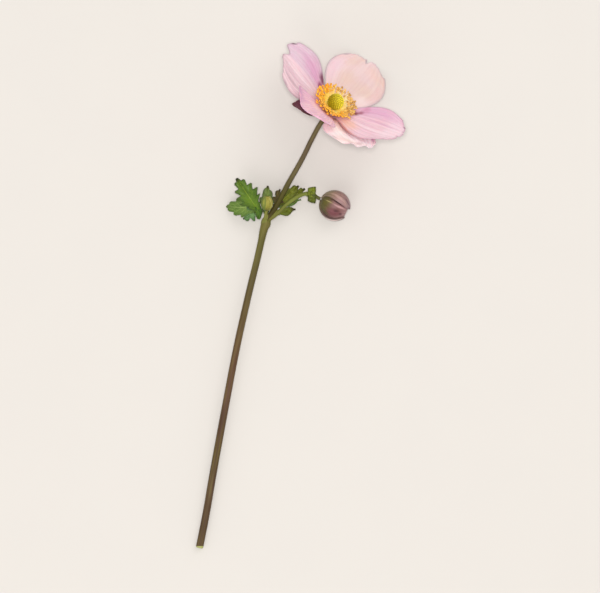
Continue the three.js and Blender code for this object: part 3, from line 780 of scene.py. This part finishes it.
budCentre = Vector((62.4, 158.0, 6.94))
budAxis = Vector((0.9, -0.43, -0.05)).normalized()
smallBudCentre = Vector((31.2, 159.0, 11.8))
smallBudAxis = Vector((0.05, 0.97, 0.2)).normalized()
budStalkEnd = budCentre - budAxis * 7.3
branches = {
    "stem": {
        "points": [(0, 0, 1.76), (3.3, 16.8, 2.5), (6.2, 33.6, 3.3), (12.1, 65.7, 4.7), (17.6, 94.2, 6.1),
                   (21.0, 109.5, 6.8), (23.9, 121.9, 7.4), (26.8, 133.6, 8.0), (28.6, 141.6, 8.3),
                   (29.9, 147.5, 8.5), (31.1, 151.1, 8.6)],
        "radii": (1.75, 1.55), "flare": 0.55,
        "colours": [(0.0, (75, 55, 40)), (0.17, (79, 59, 43)), (0.29, (69, 50, 30)),
                    (0.42, (83, 59, 44)), (0.55, (88, 63, 45)), (0.69, (83, 64, 40)),
                    (0.82, (86, 76, 43)), (0.93, (86, 83, 38)), (1.0, (100, 94, 46))]},
    "flowerStalk": {
        "points": [(31.1, 151.1, 8.6), (36.3, 159.2, 9.2), (40.9, 167.9, 9.6), (47.5, 179.6, 10.4),
                   (52.4, 189.5, 11.9), (55.6, 195.3, 13.6), bloom["centre"] - axis * 4.5,
                   bloom["centre"] - axis * 0.9],
        "radii": (1.3, 1.12),
        # the orange-brown last key, where the stalk meets the bloom, is painted shade seen through the gaps
        # between the petals' feet
        "colours": [(0.0, (60, 50, 14)), (0.12, (52, 48, 4)), (0.25, (56, 56, 8)),
                    (0.38, (76, 69, 46)), (0.6, (86, 72, 54)), (0.88, (86, 76, 52)), (1.0, (148, 92, 44))]},
    "budStalk": {
        "points": [(31.9, 151.4, 8.6), (35.4, 153.9, 8.7), (41.6, 159.6, 9.4), (48.9, 163.5, 9.2),
                   (52.0, 163.5, 8.2), budStalkEnd - budAxis * 1.5, budStalkEnd],
        "radii": (1.0, 0.86),
        "colours": [(0.0, (98, 98, 40)), (0.5, (112, 126, 50)), (0.8, (106, 116, 47)),
                    (1.0, (73, 73, 40))]},
    "smallBudStalk": {
        "points": [(30.3, 150.9, 8.7), (30.6, 153.6, 9.8), smallBudCentre - smallBudAxis * 3.4],
        "radii": (0.8, 0.75),
        "colours": [(0.0, (106, 109, 51)), (1.0, (129, 132, 59))]},
}
swellings = [
    # centre, radii and which way the last radius points
    ((30.7, 149.9, 8.6), (2.3, 3.0, 2.1), up), ((50.2, 163.3, 8.9), (1.35, 1.35, 1.25), up),
    (bloom["centre"], (2.7, 2.7, 1.1), axis), (bloom["centre"] - axis * 1.4, (1.7, 1.7, 1.5), axis)]
stemShape = {"voxel": 0.26, "smoothing": (0.5, 8), "flareRun": 0.04, "round": (10, 5), "sample": 0.6,
             "batch": 4000}
stemSkin = {
    "fibres": (1500, 1500, 60), "fibreEdge": (0.35, 0.65), "fibreShare": 0.6, "clouds": (300, 300, 45),
    "cloudSeed": 3.0, "cloudShare": 0.5, "lighter": (126, 114, 66), "darker": (40, 24, 14), "mix": 0.5,
    "cutFace": (156, 158, 98), "cutSpan": (-115.1, -115.4), "bump": (0.6, 0.25),
    "gloss": (0.3, 0.7, 0.5, 0.72), "sheen": 0.02, "specular": 0.12,
}


def branchTube(branch):
    # a bezier curve through the points, with round thickness that narrows along it
    bpy.ops.curve.primitive_bezier_curve_add()
    curve = bpy.context.object
    curve.data.splines.clear()
    spline = curve.data.splines.new('BEZIER')
    points = [Vector(point) for point in branch["points"]]
    spline.bezier_points.add(len(points) - 1)
    lengths = [0.0]
    for first, second in zip(points, points[1:]):
        lengths.append(lengths[-1] + (second - first).length)
    start, end = branch["radii"]
    for handle, point, length in zip(spline.bezier_points, points, lengths):
        handle.co = at(point)
        handle.handle_left_type = handle.handle_right_type = 'AUTO'
        share = length / lengths[-1]
        flare = branch.get("flare", 0) * math.exp(-((1 - share) / stemShape["flareRun"]) ** 2)
        handle.radius = (start + (end - start) * share + flare) * mm
    curve.data.dimensions = '3D'
    curve.data.resolution_u, curve.data.bevel_resolution = stemShape["round"]
    curve.data.bevel_depth = 1
    curve.data.use_fill_caps = True
    pick(curve)
    bpy.ops.object.convert(target='MESH')
    tube = bpy.context.object
    tube.data.materials.clear()
    return tube


def roundSwelling(centre, radii, direction):
    bpy.ops.mesh.primitive_uv_sphere_add(segments=24, ring_count=16, radius=1)
    ball = bpy.context.object
    turn = direction.to_track_quat('Z', 'Y').to_matrix()
    for vertex in ball.data.vertices:
        vertex.co = at(Vector(centre) + turn @ Vector(a * b for a, b in zip(vertex.co, radii)))
    return ball


def markBranches(piece):
    # each vertex keeps its place round and along the nearest branch, and that place's colour
    places = np.array([vertex.co for vertex in piece.data.vertices])
    best = np.full(len(places), np.inf)
    grain = np.zeros((len(places), 3))
    tint = np.ones((len(places), 4))
    for branch in branches.values():
        points = np.array([at(point) for point in branch["points"]])
        samples = []
        for first, second in zip(points, points[1:]):
            count = max(2, int(np.linalg.norm(second - first) / (stemShape["sample"] * mm)))
            samples += [first + (second - first) * k / count for k in range(count)]
        samples = np.array(samples + [points[-1]])
        share = np.linspace(0, 1, len(samples))
        length = np.linalg.norm(np.diff(samples, axis=0), axis=1).sum()
        keys = [key[0] for key in branch["colours"]]
        shades = np.array([paint(key[1]) for key in branch["colours"]])
        for first in range(0, len(places), stemShape["batch"]):
            some = slice(first, first + stemShape["batch"])
            apart = np.linalg.norm(places[some, None, :] - samples[None, :, :], axis=2)
            closest = apart.min(axis=1)
            won = closest < best[some]
            rows = np.arange(len(places))[some][won]
            where = apart.argmin(axis=1)[won]
            best[rows] = closest[won]
            grain[rows, :2] = (places[rows] - samples[where])[:, [0, 2]]
            grain[rows, 2] = share[where] * length
            for channel in range(4):
                tint[rows, channel] = np.interp(share[where], keys, shades[:, channel])
    for name, kind, key, values in (("grain", 'FLOAT_VECTOR', "vector", grain),
                                    ("tint", 'FLOAT_COLOR', "color", tint)):
        attribute = piece.data.attributes.new(name, kind, 'POINT')
        attribute.data.foreach_set(key, values.astype(np.float32).ravel())


tubes = [branchTube(branch) for branch in branches.values()]
tubes += [roundSwelling(*swelling) for swelling in swellings]
stem = joined("stem_and_stalks", tubes)
finish(stem, 'REMESH', mode='VOXEL', voxel_size=stemShape["voxel"] * mm)
factor, rounds = stemShape["smoothing"]
finish(stem, 'SMOOTH', factor=factor, iterations=rounds)
markBranches(stem)
material, tree, skin = newMaterial("stem_skin")
place = node(tree, "ShaderNodeAttribute", attribute_name="grain").outputs["Vector"]
tint = node(tree, "ShaderNodeAttribute", attribute_name="tint").outputs["Color"]
fibre = clouds(tree, scaled(tree, place, stemSkin["fibres"]), 1.0, 4.0)
fibreShare = times(tree, step(tree, fibre, *stemSkin["fibreEdge"]), stemSkin["fibreShare"])
cloud = useGroup(tree, blotch, {
    "Place": scaled(tree, place, stemSkin["clouds"]), "Scale": 1.0, "Seed": stemSkin["cloudSeed"]})
lighter = blendColour(tree, stemSkin["mix"], tint, stemSkin["lighter"])
darker = blendColour(tree, stemSkin["mix"], tint, stemSkin["darker"])
colour = blendColour(tree, fibreShare, tint, lighter)
colour = blendColour(tree, times(tree, cloud, stemSkin["cloudShare"]), colour, darker)
whole, cut = stemSkin["cutSpan"]
atCut = step(tree, split(tree, objectPlace(tree))[1], whole * mm, cut * mm)
colour = blendColour(tree, atCut, colour, stemSkin["cutFace"])
feed(tree, skin, {
    "Base Color": colour, **uneven(tree, fibre, stemSkin),
    "Sheen Weight": stemSkin["sheen"], "Specular IOR Level": stemSkin["specular"]})
coat(stem, material)
smooth(stem, 180)
dress(stem, "stem", "stem")
print("stem:", len(stem.data.polygons), "faces")

# leaves of the whorl and bracts of the side stalk

leafShape = {
    "thickness": 0.3, "grid": (22, 56), "fold": 10, "seedStep": 1.3, "foot": 0.3, "broadest": 0.42,
    "narrowing": (0.95, 1.5), "midrib": (0.12, 0.1), "toothSpan": (0.2, 0.7), "toothed": (0.18, 0.93),
    "stagger": 0.12, "toothPeak": 0.68, "toothBack": 1.4, "toothDepth": (0.7, 0.56), "hook": 0.05,
    "smallTeeth": (3, 0.12, 0.7), "edge": 2.5, "wave": (0.22, 4.5), "ribs": (0.07, 3, 0.28),
}
leafSkin = {
    "midrib": (0.035, 0.006), "slant": 0.55, "veinsPerTooth": 2.2, "sideVein": (0.42, 0.5),
    "veinFade": (0.5, 0.2, 0.25, 0.8), "netScale": (16, 26, 1), "netLine": 0.09, "blotches": 3.2,
    "rimWidth": 0.07, "flanks": (0.1, 0.44, 0.0, 0.8), "cloudShare": 0.7, "lineShares": (0.55, 0.4),
    "rimShare": (0.2, 0.8, 0.3, 0.65), "backTint": (168, 182, 146), "backShare": 0.35, "bump": (0.5, 0.25),
    "gloss": (0.0, 1.0, 0.44, 0.64), "specular": 0.25, "subsurface": 0.08, "scatter": (0.4, 0.9, 0.3),
}
# rise is a lobe's slope at its root and its tip, and depth how deep its teeth are cut
leaves = {
    "leaf_left": [
        {"root": (27.5, 151.7, 8.6), "heading": 94, "length": 8, "width": 4.0, "rise": (8, 2),
         "teeth": 0, "colours": "deepGreen"},
        {"root": (27.4, 155.4, 8.9), "heading": 124, "length": 18.4, "width": 10.5, "rise": (12, -6),
         "teeth": 4, "colours": "brightGreen", "depth": 0.65},
        {"root": (27.2, 156.6, 9.0), "heading": 176, "length": 17.8, "width": 8.6, "rise": (-5, -55),
         "teeth": 3, "colours": "greyGreen", "depth": 0.35},
        {"root": (27.0, 156.2, 8.8), "heading": 213, "length": 8.6, "width": 6.4, "rise": (-6, -30),
         "teeth": 2, "colours": "blueGreen"}],
    "leaf_right": [
        {"root": (33.1, 152.0, 6.2), "heading": 66, "length": 7, "width": 3.2, "rise": (-26, -4),
         "teeth": 0, "colours": "olive"},
        {"root": (36.1, 158.4, 4.3), "heading": 30.5, "length": 14.8, "width": 5.8, "rise": (0, -12),
         "teeth": 4, "colours": "olive", "depth": 0.4},
        {"root": (36.1, 158.4, 4.6), "heading": 42, "length": 13.2, "width": 6.8, "rise": (2, -10),
         "teeth": 3, "colours": "olive", "depth": 0.4},
        {"root": (34.9, 156.4, 4.4), "heading": 76, "length": 9.6, "width": 5.4, "rise": (8, 0),
         "teeth": 2, "colours": "brown"},
        {"root": (36.3, 157.4, 4.3), "heading": 18, "length": 11.4, "width": 2.8, "rise": (-8, -12),
         "teeth": 1, "colours": "greyGreen"}],
    "leaf_low": [
        {"root": (35.2, 154.4, 6.9), "heading": 12, "length": 9.5, "width": 4.2, "rise": (1, -14),
         "teeth": 1, "colours": "darkTipped", "depth": 0.6}],
    "leaf_top": [
        {"root": (30.7, 154.3, 7.4), "heading": 86, "length": 12.9, "width": 6.6, "rise": (-4, 2),
         "teeth": 2, "colours": "mossGreen", "depth": 0.3}],
    "bracts": [
        {"root": (50.4, 163.0, 11.0), "heading": 48, "length": 5.0, "width": 4.3, "rise": (6, -30),
         "teeth": 0, "colours": "bractGreen", "depth": 0.5},
        {"root": (50.6, 163.1, 11.0), "heading": -54, "length": 5.1, "width": 4.3, "rise": (4, -34),
         "teeth": 0, "colours": "bractShade", "depth": 0.5},
        {"root": (50.0, 163.1, 11.0), "heading": -6, "length": 4.2, "width": 3.2, "rise": (4, -16),
         "teeth": 0, "colours": "bractGreen"}],
}
usualLobe = {"depth": 1}
greens = {
    "brightGreen": {"flesh": (82, 111, 13), "dark": (43, 70, 11), "vein": (128, 145, 40),
                    "tip": (45, 43, 25)},
    "deepGreen": {"flesh": (63, 99, 17), "dark": (36, 59, 9), "vein": (108, 131, 43), "tip": (63, 46, 30)},
    "greyGreen": {"flesh": (100, 125, 51), "dark": (63, 93, 28), "vein": (173, 191, 111),
                  "tip": (83, 97, 45)},
    "blueGreen": {"flesh": (94, 128, 70), "dark": (58, 88, 46), "vein": (132, 160, 104), "tip": (62, 66, 50)},
    "mossGreen": {"flesh": (98, 116, 44), "dark": (68, 84, 38), "vein": (140, 152, 84), "tip": (62, 42, 32)},
    "olive": {"flesh": (100, 108, 15), "dark": (63, 70, 6), "vein": (142, 142, 45), "tip": (51, 39, 17)},
    "darkTipped": {"flesh": (96, 106, 18), "dark": (62, 72, 10), "vein": (138, 140, 48),
                   "tip": (58, 46, 28), "tipFrom": 0.6},
    "brown": {"flesh": (92, 83, 38), "dark": (60, 50, 22), "vein": (117, 101, 56), "tip": (50, 35, 20)},
    "bractGreen": {"flesh": (107, 118, 20), "dark": (65, 74, 11), "vein": (151, 157, 55),
                   "tip": (54, 50, 20), "net": 0.12},
    "bractShade": {"flesh": (84, 92, 20), "dark": (52, 58, 11), "vein": (118, 124, 46),
                   "tip": (46, 42, 19), "net": 0.12},
}
usualGreen = {"net": 0.4, "tipFrom": 0.86}


def lobeWidth(v):
    foot, broadest = leafShape["foot"], leafShape["broadest"]
    if v < broadest:
        return foot + (1 - foot) * ease(v / broadest)
    amount, power = leafShape["narrowing"]
    return 1 - amount * ((v - broadest) / (1 - broadest)) ** power


def sawAt(place):
    # a forward-pointing tooth with two small ones on its back
    inTooth, peak = place % 1, leafShape["toothPeak"]
    if inTooth < peak:
        height = ease(inTooth / peak)
    else:
        height = 1 - ease((inTooth - peak) / (1 - peak)) ** leafShape["toothBack"]
    count, smallHeight, smallPeak = leafShape["smallTeeth"]
    small = (place * count) % 1
    return height + smallHeight * (small / smallPeak if small < smallPeak else (1 - small) / (1 - smallPeak))


def lobeSurface(lobe, seed):
    turn = math.radians(lobe["heading"])
    forward = Vector((math.cos(turn), math.sin(turn), 0))
    right = Vector((math.sin(turn), -math.cos(turn), 0))
    rootRise, tipRise = (math.radians(value) for value in lobe["rise"])
    bend = (tipRise - rootRise) / lobe["length"]
    fold = math.tan(math.radians(leafShape["fold"]))
    toothStart, toothRun = leafShape["toothSpan"]
    firstTooth, lastTooth = leafShape["toothed"]
    out, inward = leafShape["toothDepth"]
    ribDepth, ribWidth = leafShape["midrib"]
    waveHeight, waveCount = leafShape["wave"]
    veinHeight, veinCount, veinSlant = leafShape["ribs"]

    def surface(u, v):
        place = (v - toothStart) / toothRun * max(lobe["teeth"], 1)
        saw = sawAt(place + leafShape["stagger"] * math.copysign(1, u))
        toothed = lobe["teeth"] > 0 and firstTooth < v < lastTooth
        edge = abs(u) ** leafShape["edge"]
        width = lobeWidth(v) * (1 + (out * saw - inward) * lobe["depth"] * edge * (1 if toothed else 0))
        length = lobe["length"] * min(v + (leafShape["hook"] * saw * edge if toothed else 0), 1)
        rise = rootRise + bend * length
        across = lobe["width"] / 2 * width * u
        lift = abs(across) * fold - ribDepth * math.exp(-(u / ribWidth) ** 2)
        lift += waveHeight * abs(u) * math.sin(waveCount * math.pi * v + seed)
        rib = veinCount * math.pi * (v - veinSlant * abs(u)) * max(lobe["teeth"], 2)
        lift += veinHeight * math.sin(rib)
        return at(Vector(lobe["root"]) + forward * ((math.sin(rise) - math.sin(rootRise)) / bend)
                  + right * across + up * ((math.cos(rootRise) - math.cos(rise)) / bend + lift))

    return surface


def leafMaterial(name, look, teeth, back=False):
    material, tree, skin = newMaterial(name)
    place, parts = bladePlace(tree)
    fromMidrib = maths(tree, 'ABSOLUTE', maths(tree, 'SUBTRACT', parts[0], 0.5))
    midrib = step(tree, fromMidrib, *leafSkin["midrib"])
    lane = times(tree, maths(tree, 'SUBTRACT', parts[1], times(tree, fromMidrib, leafSkin["slant"])),
                 float(max(teeth, 2) * leafSkin["veinsPerTooth"]))
    ridge = maths(tree, 'ABSOLUTE', maths(tree, 'SUBTRACT', maths(tree, 'FRACT', lane), 0.5))
    sideVeins = times(tree, step(tree, ridge, *leafSkin["sideVein"]),
                      step(tree, fromMidrib, *leafSkin["veinFade"]))
    net = node(tree, "ShaderNodeTexVoronoi", {
        "Vector": scaled(tree, place, leafSkin["netScale"]), "Scale": 1.0}, feature='DISTANCE_TO_EDGE')
    netMask = step(tree, net.outputs[0], leafSkin["netLine"], 0.0, 0.0, look["net"])
    # the name's length serves as the seed of each side's blotches
    cloud = useGroup(tree, blotch, {
        "Place": place, "Scale": leafSkin["blotches"], "Seed": float(len(name))})
    edge = useGroup(tree, rim, {"Place": place, "Width": leafSkin["rimWidth"]})
    lines = maths(tree, 'MAXIMUM', maths(tree, 'MAXIMUM', midrib, sideVeins), netMask)
    shade = maths(tree, 'MAXIMUM', times(tree, cloud, leafSkin["cloudShare"]),
                  step(tree, fromMidrib, *leafSkin["flanks"]))
    colour = blendColour(tree, shade, look["flesh"], look["dark"])
    colour = blendColour(tree, times(tree, lines, leafSkin["lineShares"][int(back)]), colour, look["vein"])
    rimTint = times(tree, edge, step(tree, cloud, *leafSkin["rimShare"]))
    tips = maths(tree, 'MAXIMUM', rimTint, step(tree, parts[1], look["tipFrom"], 1.0))
    colour = blendColour(tree, tips, colour, look["tip"])
    if back:
        colour = blendColour(tree, leafSkin["backShare"], colour, leafSkin["backTint"])
    # veins are sunk on the face and stand out on the back
    relief = times(tree, lines, 1.0 if back else -1.0)
    strength, depth = leafSkin["bump"]
    bump = node(tree, "ShaderNodeBump", {"Height": relief, "Strength": strength, "Distance": depth * mm})
    feed(tree, skin, {
        "Base Color": colour, "Normal": bump.outputs[0], "Roughness": step(tree, cloud, *leafSkin["gloss"]),
        "Specular IOR Level": leafSkin["specular"], "Subsurface Weight": leafSkin["subsurface"],
        "Subsurface Radius": Vector(leafSkin["scatter"]) * mm})
    return material


for name, lobes in leaves.items():
    blades = []
    for index, own in enumerate(lobes):
        lobe = {**usualLobe, **own}
        blade = sheetOf(name + "_lobe", lobeSurface(lobe, index * leafShape["seedStep"]), *leafShape["grid"])
        look = {**usualGreen, **greens[lobe["colours"]]}
        blade.data.materials.append(leafMaterial(f"{name}_{index}_face", look, lobe["teeth"]))
        blade.data.materials.append(leafMaterial(f"{name}_{index}_back", look, lobe["teeth"], True))
        finish(blade, 'SOLIDIFY', thickness=leafShape["thickness"] * mm, offset=-1, material_offset=1)
        blades.append(blade)
    leaf = joined(name + "_blades", blades)
    smooth(leaf)
    dress(leaf, "leaf", name)
print("leaves:", len(leaves))

# buds: shells of sepals round a core

# A sepal's two edges are angles round the bud at places along it, span is where it starts and ends
# from stalk to tip, level its height over the bud's round, and ripens where its base colour ends.
buds = {
    "bud": {
        "centre": budCentre, "axis": budAxis, "radii": (6.9, 6.72), "core": (6.05, 5.95), "shell": 0.45,
        "sepals": {
            "under": {"edges": ([(0, -78), (1, -70)], [(0, 42), (0.6, 32), (1, 36)]), "span": (9, 153),
                      "level": -0.55, "base": (90, 84, 22), "body": (112, 66, 62),
                      "far": (164, 122, 122), "line": (62, 38, 30), "ripens": (0.28, 0.56),
                      "marks": [
                          (0.2, 0.36, 0.16, 0.2, (66, 54, 16), 0.8),
                          (0.73, 0.34, 0.04, 0.18, (160, 146, 92), 0.8),
                          (0.72, 0.72, 0.07, 0.26, (184, 142, 140), 0.8),
                          (0.4, 0.6, 0.22, 0.3, (104, 46, 54), 0.85),
                          (0.51, 0.65, 0.09, 0.1, (66, 22, 28), 0.75),
                          (0.42, 0.8, 0.08, 0.08, (66, 24, 32), 0.8),
                          # the near-black line at 0.86 across is painted shadow under the overlapping edge of
                          # the upper sepal
                          (0.86, 0.64, 0.07, 0.42, (54, 18, 18), 0.98),
                          (0.16, 0.8, 0.07, 0.2, (170, 136, 134), 0.8)]},
            "inner": {"edges": ([(0, 130), (1, 120)], [(0, 240), (1, 250)]), "span": (9, 152),
                      "level": -0.5, "base": (64, 59, 31), "body": (84, 57, 48),
                      "far": (116, 83, 79), "line": (53, 30, 29), "marks": []},
            "upper": {"edges": ([(0, 46), (0.2, 33), (0.5, 20), (0.8, 14), (0.93, 24), (1, 48)],
                                [(0, 150), (0.3, 166), (0.7, 162), (0.93, 120), (1, 78)]), "span": (8, 166),
                      "level": 0.2, "base": (130, 116, 76), "body": (158, 122, 112),
                      "far": (160, 128, 134), "line": (80, 56, 54), "ripens": (0.2, 0.55),
                      "marks": [
                          # the peach mark at 0.14 across is a painted highlight
                          (0.14, 0.5, 0.05, 0.3, (184, 152, 140), 0.65),
                          (0.3, 0.36, 0.03, 0.3, (88, 74, 42), 0.8),
                          (0.52, 0.42, 0.03, 0.3, (90, 74, 50), 0.8),
                          (0.42, 0.62, 0.025, 0.26, (112, 84, 78), 0.8),
                          (0.24, 0.78, 0.05, 0.2, (90, 56, 62), 0.9),
                          (0.8, 0.7, 0.1, 0.3, (124, 98, 100), 0.6),
                          (0.04, 0.95, 0.3, 0.09, (78, 42, 46), 0.9)]},
            "lower": {"edges": ([(0, -165), (0.4, -178), (0.8, -168), (1, -96)],
                                [(0, -66), (0.35, -68), (0.6, -60), (0.82, -48), (0.94, -50), (1, -66)]),
                      "span": (8, 156), "level": 0.1, "base": (96, 88, 36), "body": (118, 88, 76),
                      "far": (128, 94, 90), "line": (60, 38, 28),
                      "marks": [
                          (0.97, 0.56, 0.08, 0.5, (52, 24, 22), 0.95),
                          # the pale rim at 0.84 across is partly the sepal's own colour and partly painted
                          # light on the bud's underside
                          (0.84, 0.66, 0.09, 0.36, (226, 200, 196), 0.95)]},
        },
        "slot": "bud"},
    "small_bud": {
        "centre": smallBudCentre, "axis": smallBudAxis, "radii": (3.55, 2.55), "core": (3.1, 2.2),
        "shell": 0.25,
        "sepals": {
            "under": {"edges": ([(0, -80), (1, -70)], [(0, 40), (1, 36)]), "span": (9, 158),
                      "level": -0.18, "base": (104, 98, 12), "body": (140, 133, 34),
                      "far": (164, 155, 62), "line": (78, 81, 12), "marks": []},
            "inner": {"edges": ([(0, 120), (1, 120)], [(0, 250), (1, 240)]), "span": (9, 156),
                      "level": -0.18, "base": (82, 92, 11), "body": (104, 107, 17),
                      "far": (118, 116, 30), "line": (69, 73, 9), "marks": []},
            "upper": {"edges": ([(0, 30), (0.5, 10), (0.85, 16), (1, 46)], [(0, 150), (0.7, 166), (1, 90)]),
                      "span": (8, 166), "level": 0.06, "base": (80, 96, 16), "body": (101, 114, 27),
                      "far": (123, 129, 41), "line": (61, 73, 9),
                      "marks": [
                          (0.16, 0.6, 0.1, 0.24, (149, 146, 48), 0.7)]},
            "lower": {"edges": ([(0, -160), (0.6, -176), (1, -100)],
                                [(0, -40), (0.5, -52), (0.85, -28), (1, -60)]),
                      "span": (8, 162), "level": 0.04, "base": (112, 107, 28), "body": (153, 146, 62),
                      "far": (172, 165, 84), "line": (97, 96, 23), "marks": []},
        },
        "slot": "small_bud"},
}
sepalShape = {"grid": (40, 48), "tuck": (0.22, 4), "ribs": (0.06, 24), "beak": (0.35, 0.8, 0.5),
              "stretch": 0.6}
budSkin = {
    "fineness": 34.0, "blotches": (3.0, 2.0), "rimWidth": 0.09, "blotchShare": 0.4, "tipSpan": (0.62, 1.0),
    "ripens": (0.12, 0.5), "streakShare": 0.5, "rimShare": 0.2, "bump": (0.5, 0.2),
    "gloss": (0.0, 1.0, 0.5, 0.68), "sheen": 0.08, "sheenRoughness": 0.4,
}
coreSkin = {"blotches": (500.0, 4.0), "roughness": 0.6}


def budMaterial(name, look):
    material, tree, skin = newMaterial(name)
    place, parts = bladePlace(tree)
    # the name's length serves as the seed of each sepal
    fine = useGroup(tree, streaks, {
        "Place": place, "Fineness": budSkin["fineness"], "Seed": float(len(name))})
    scale, shift = budSkin["blotches"]
    cloud = useGroup(tree, blotch, {"Place": place, "Scale": scale, "Seed": shift + len(name)})
    edge = useGroup(tree, rim, {"Place": place, "Width": budSkin["rimWidth"]})
    colour = blendColour(tree, times(tree, cloud, budSkin["blotchShare"]), look["body"], look["far"])
    colour = blendColour(tree, step(tree, parts[1], *budSkin["tipSpan"]), colour, look["far"])
    ripe = step(tree, parts[1], *look.get("ripens", budSkin["ripens"]))
    colour = blendColour(tree, ripe, look["base"], colour)
    colour = blendColour(tree, times(tree, fine, budSkin["streakShare"]), colour, look["line"])
    colour = addMarks(tree, place, colour, look["marks"])
    colour = blendColour(tree, times(tree, edge, budSkin["rimShare"]), colour, look["far"])
    feed(tree, skin, {
        "Base Color": colour, **uneven(tree, fine, budSkin),
        "Sheen Weight": budSkin["sheen"], "Sheen Roughness": budSkin["sheenRoughness"]})
    return material


def sepalSurface(bud, sepal):
    forward = bud["axis"]
    facing = (up - forward * forward.z).normalized()
    upward = facing.cross(forward)
    long, wide = bud["radii"]
    lower, upper = sepal["edges"]
    start, end = (math.radians(value) for value in sepal["span"])
    tuckDepth, tuckPower = sepalShape["tuck"]
    ribHeight, ribCount = sepalShape["ribs"]
    beakHeight, beakStart, beakNarrowing = sepalShape["beak"]

    def surface(u, v):
        theta = start + (end - start) * v
        low, high = between(lower, v), between(upper, v)
        psi = math.radians(low + (high - low) * (1 + u) / 2)
        swell = sepal["level"] - tuckDepth * abs(u) ** tuckPower * math.sin(math.pi * v)
        swell += ribHeight * math.sin(ribCount * u) * math.sin(math.pi * v)
        beak = beakHeight * ease((v - beakStart) / (1 - beakStart)) * (1 - abs(u) * beakNarrowing)
        radius = (wide + swell) * math.sin(theta) + (beak if sepal["level"] > 0 else 0)
        return at(bud["centre"] - forward * (math.cos(theta) * (long + swell * sepalShape["stretch"]))
                  + (facing * math.cos(psi) + upward * math.sin(psi)) * radius)

    return surface


def budCore(name, bud):
    long, wide = bud["core"]
    core = roundSwelling(bud["centre"], (wide, wide, long), bud["axis"])
    material, tree, skin = newMaterial(name + "_core")
    scale, seed = coreSkin["blotches"]
    cloud = useGroup(tree, blotch, {"Place": objectPlace(tree), "Scale": scale, "Seed": seed})
    under = bud["sepals"]["under"]
    feed(tree, skin, {"Base Color": blendColour(tree, cloud, under["far"], under["body"]),
                      "Roughness": coreSkin["roughness"]})
    core.data.materials.append(material)
    return core


for name, bud in buds.items():
    shells = [budCore(name, bud)]
    for key, sepal in bud["sepals"].items():
        shell = sheetOf(name + "_" + key, sepalSurface(bud, sepal), *sepalShape["grid"])
        shell.data.materials.append(budMaterial(f"{name}_{key}", sepal))
        finish(shell, 'SOLIDIFY', thickness=bud["shell"] * mm, offset=0)
        shells.append(shell)
    whole = joined(name + "_sepals", shells)
    smooth(whole)
    dress(whole, bud["slot"], name)
print("buds:", len(buds))

# floor, lights and camera, with sizes in metres

studio = {
    "floorSize": 6, "paper": (199, 194, 188), "paperBlotch": (196, 191, 186), "blotches": (30.0, 1.0),
    "blotchShare": 0.15, "roughness": 0.9, "specular": 0.1,
    # each lamp: place, size and power
    "lamps": {"topLight": ((0.0, 0.05, 3.0), 0.4, 60.0), "sideLight": ((0.81, 1.16, 1.69), 1.6, 10.0),
              "lowLight": ((-0.6, -1.1, 1.3), 1.4, 8.0)},
    "lampColour": (1.0, 0.995, 0.985), "sky": (1.0, 0.995, 0.99, 1.0), "skyStrength": 0.6,
    "distance": 4.0, "share": 0.85, "picture": (600, 593), "sensor": 36,
}
low, high = cadBox
middle = (low + high) / 2
bpy.ops.mesh.primitive_plane_add(size=studio["floorSize"], location=(0, 0, min(low.z, 0)))
floor = bpy.context.object
floor.name = "floor"
material, tree, skin = newMaterial("floor_paper")
scale, seed = studio["blotches"]
cloud = useGroup(tree, blotch, {"Place": objectPlace(tree), "Scale": scale, "Seed": seed})
paper = blendColour(tree, times(tree, cloud, studio["blotchShare"]), studio["paper"], studio["paperBlotch"])
feed(tree, skin, {"Base Color": paper, "Roughness": studio["roughness"],
                  "Specular IOR Level": studio["specular"]})
floor.data.materials.append(material)

for name, (place, size, power) in studio["lamps"].items():
    bpy.ops.object.light_add(type='AREA', location=place)
    lamp = bpy.context.object
    lamp.name = name
    lamp.data.shape = 'DISK'
    lamp.data.size = size
    lamp.data.energy = power
    lamp.data.color = studio["lampColour"]
    lamp.rotation_euler = (Vector(place) - middle).to_track_quat('Z', 'Y').to_euler()

world = bpy.data.worlds.new("studio")
world.use_nodes = True
feed(world.node_tree, world.node_tree.nodes["Background"], {
    "Color": studio["sky"], "Strength": studio["skyStrength"]})
bpy.context.scene.world = world
bpy.context.scene.view_settings.view_transform = 'Standard'

bpy.ops.object.camera_add(location=(middle.x, middle.y, studio["distance"]), rotation=(0, 0, 0))
camera = bpy.context.object
pictureWidth, pictureHeight = studio["picture"]
seen = (high.y - low.y) / studio["share"] * pictureWidth / pictureHeight
camera.data.sensor_fit = 'HORIZONTAL'
camera.data.sensor_width = studio["sensor"]
camera.data.lens = studio["sensor"] * studio["distance"] / seen
bpy.context.scene.camera = camera
print("stage set")
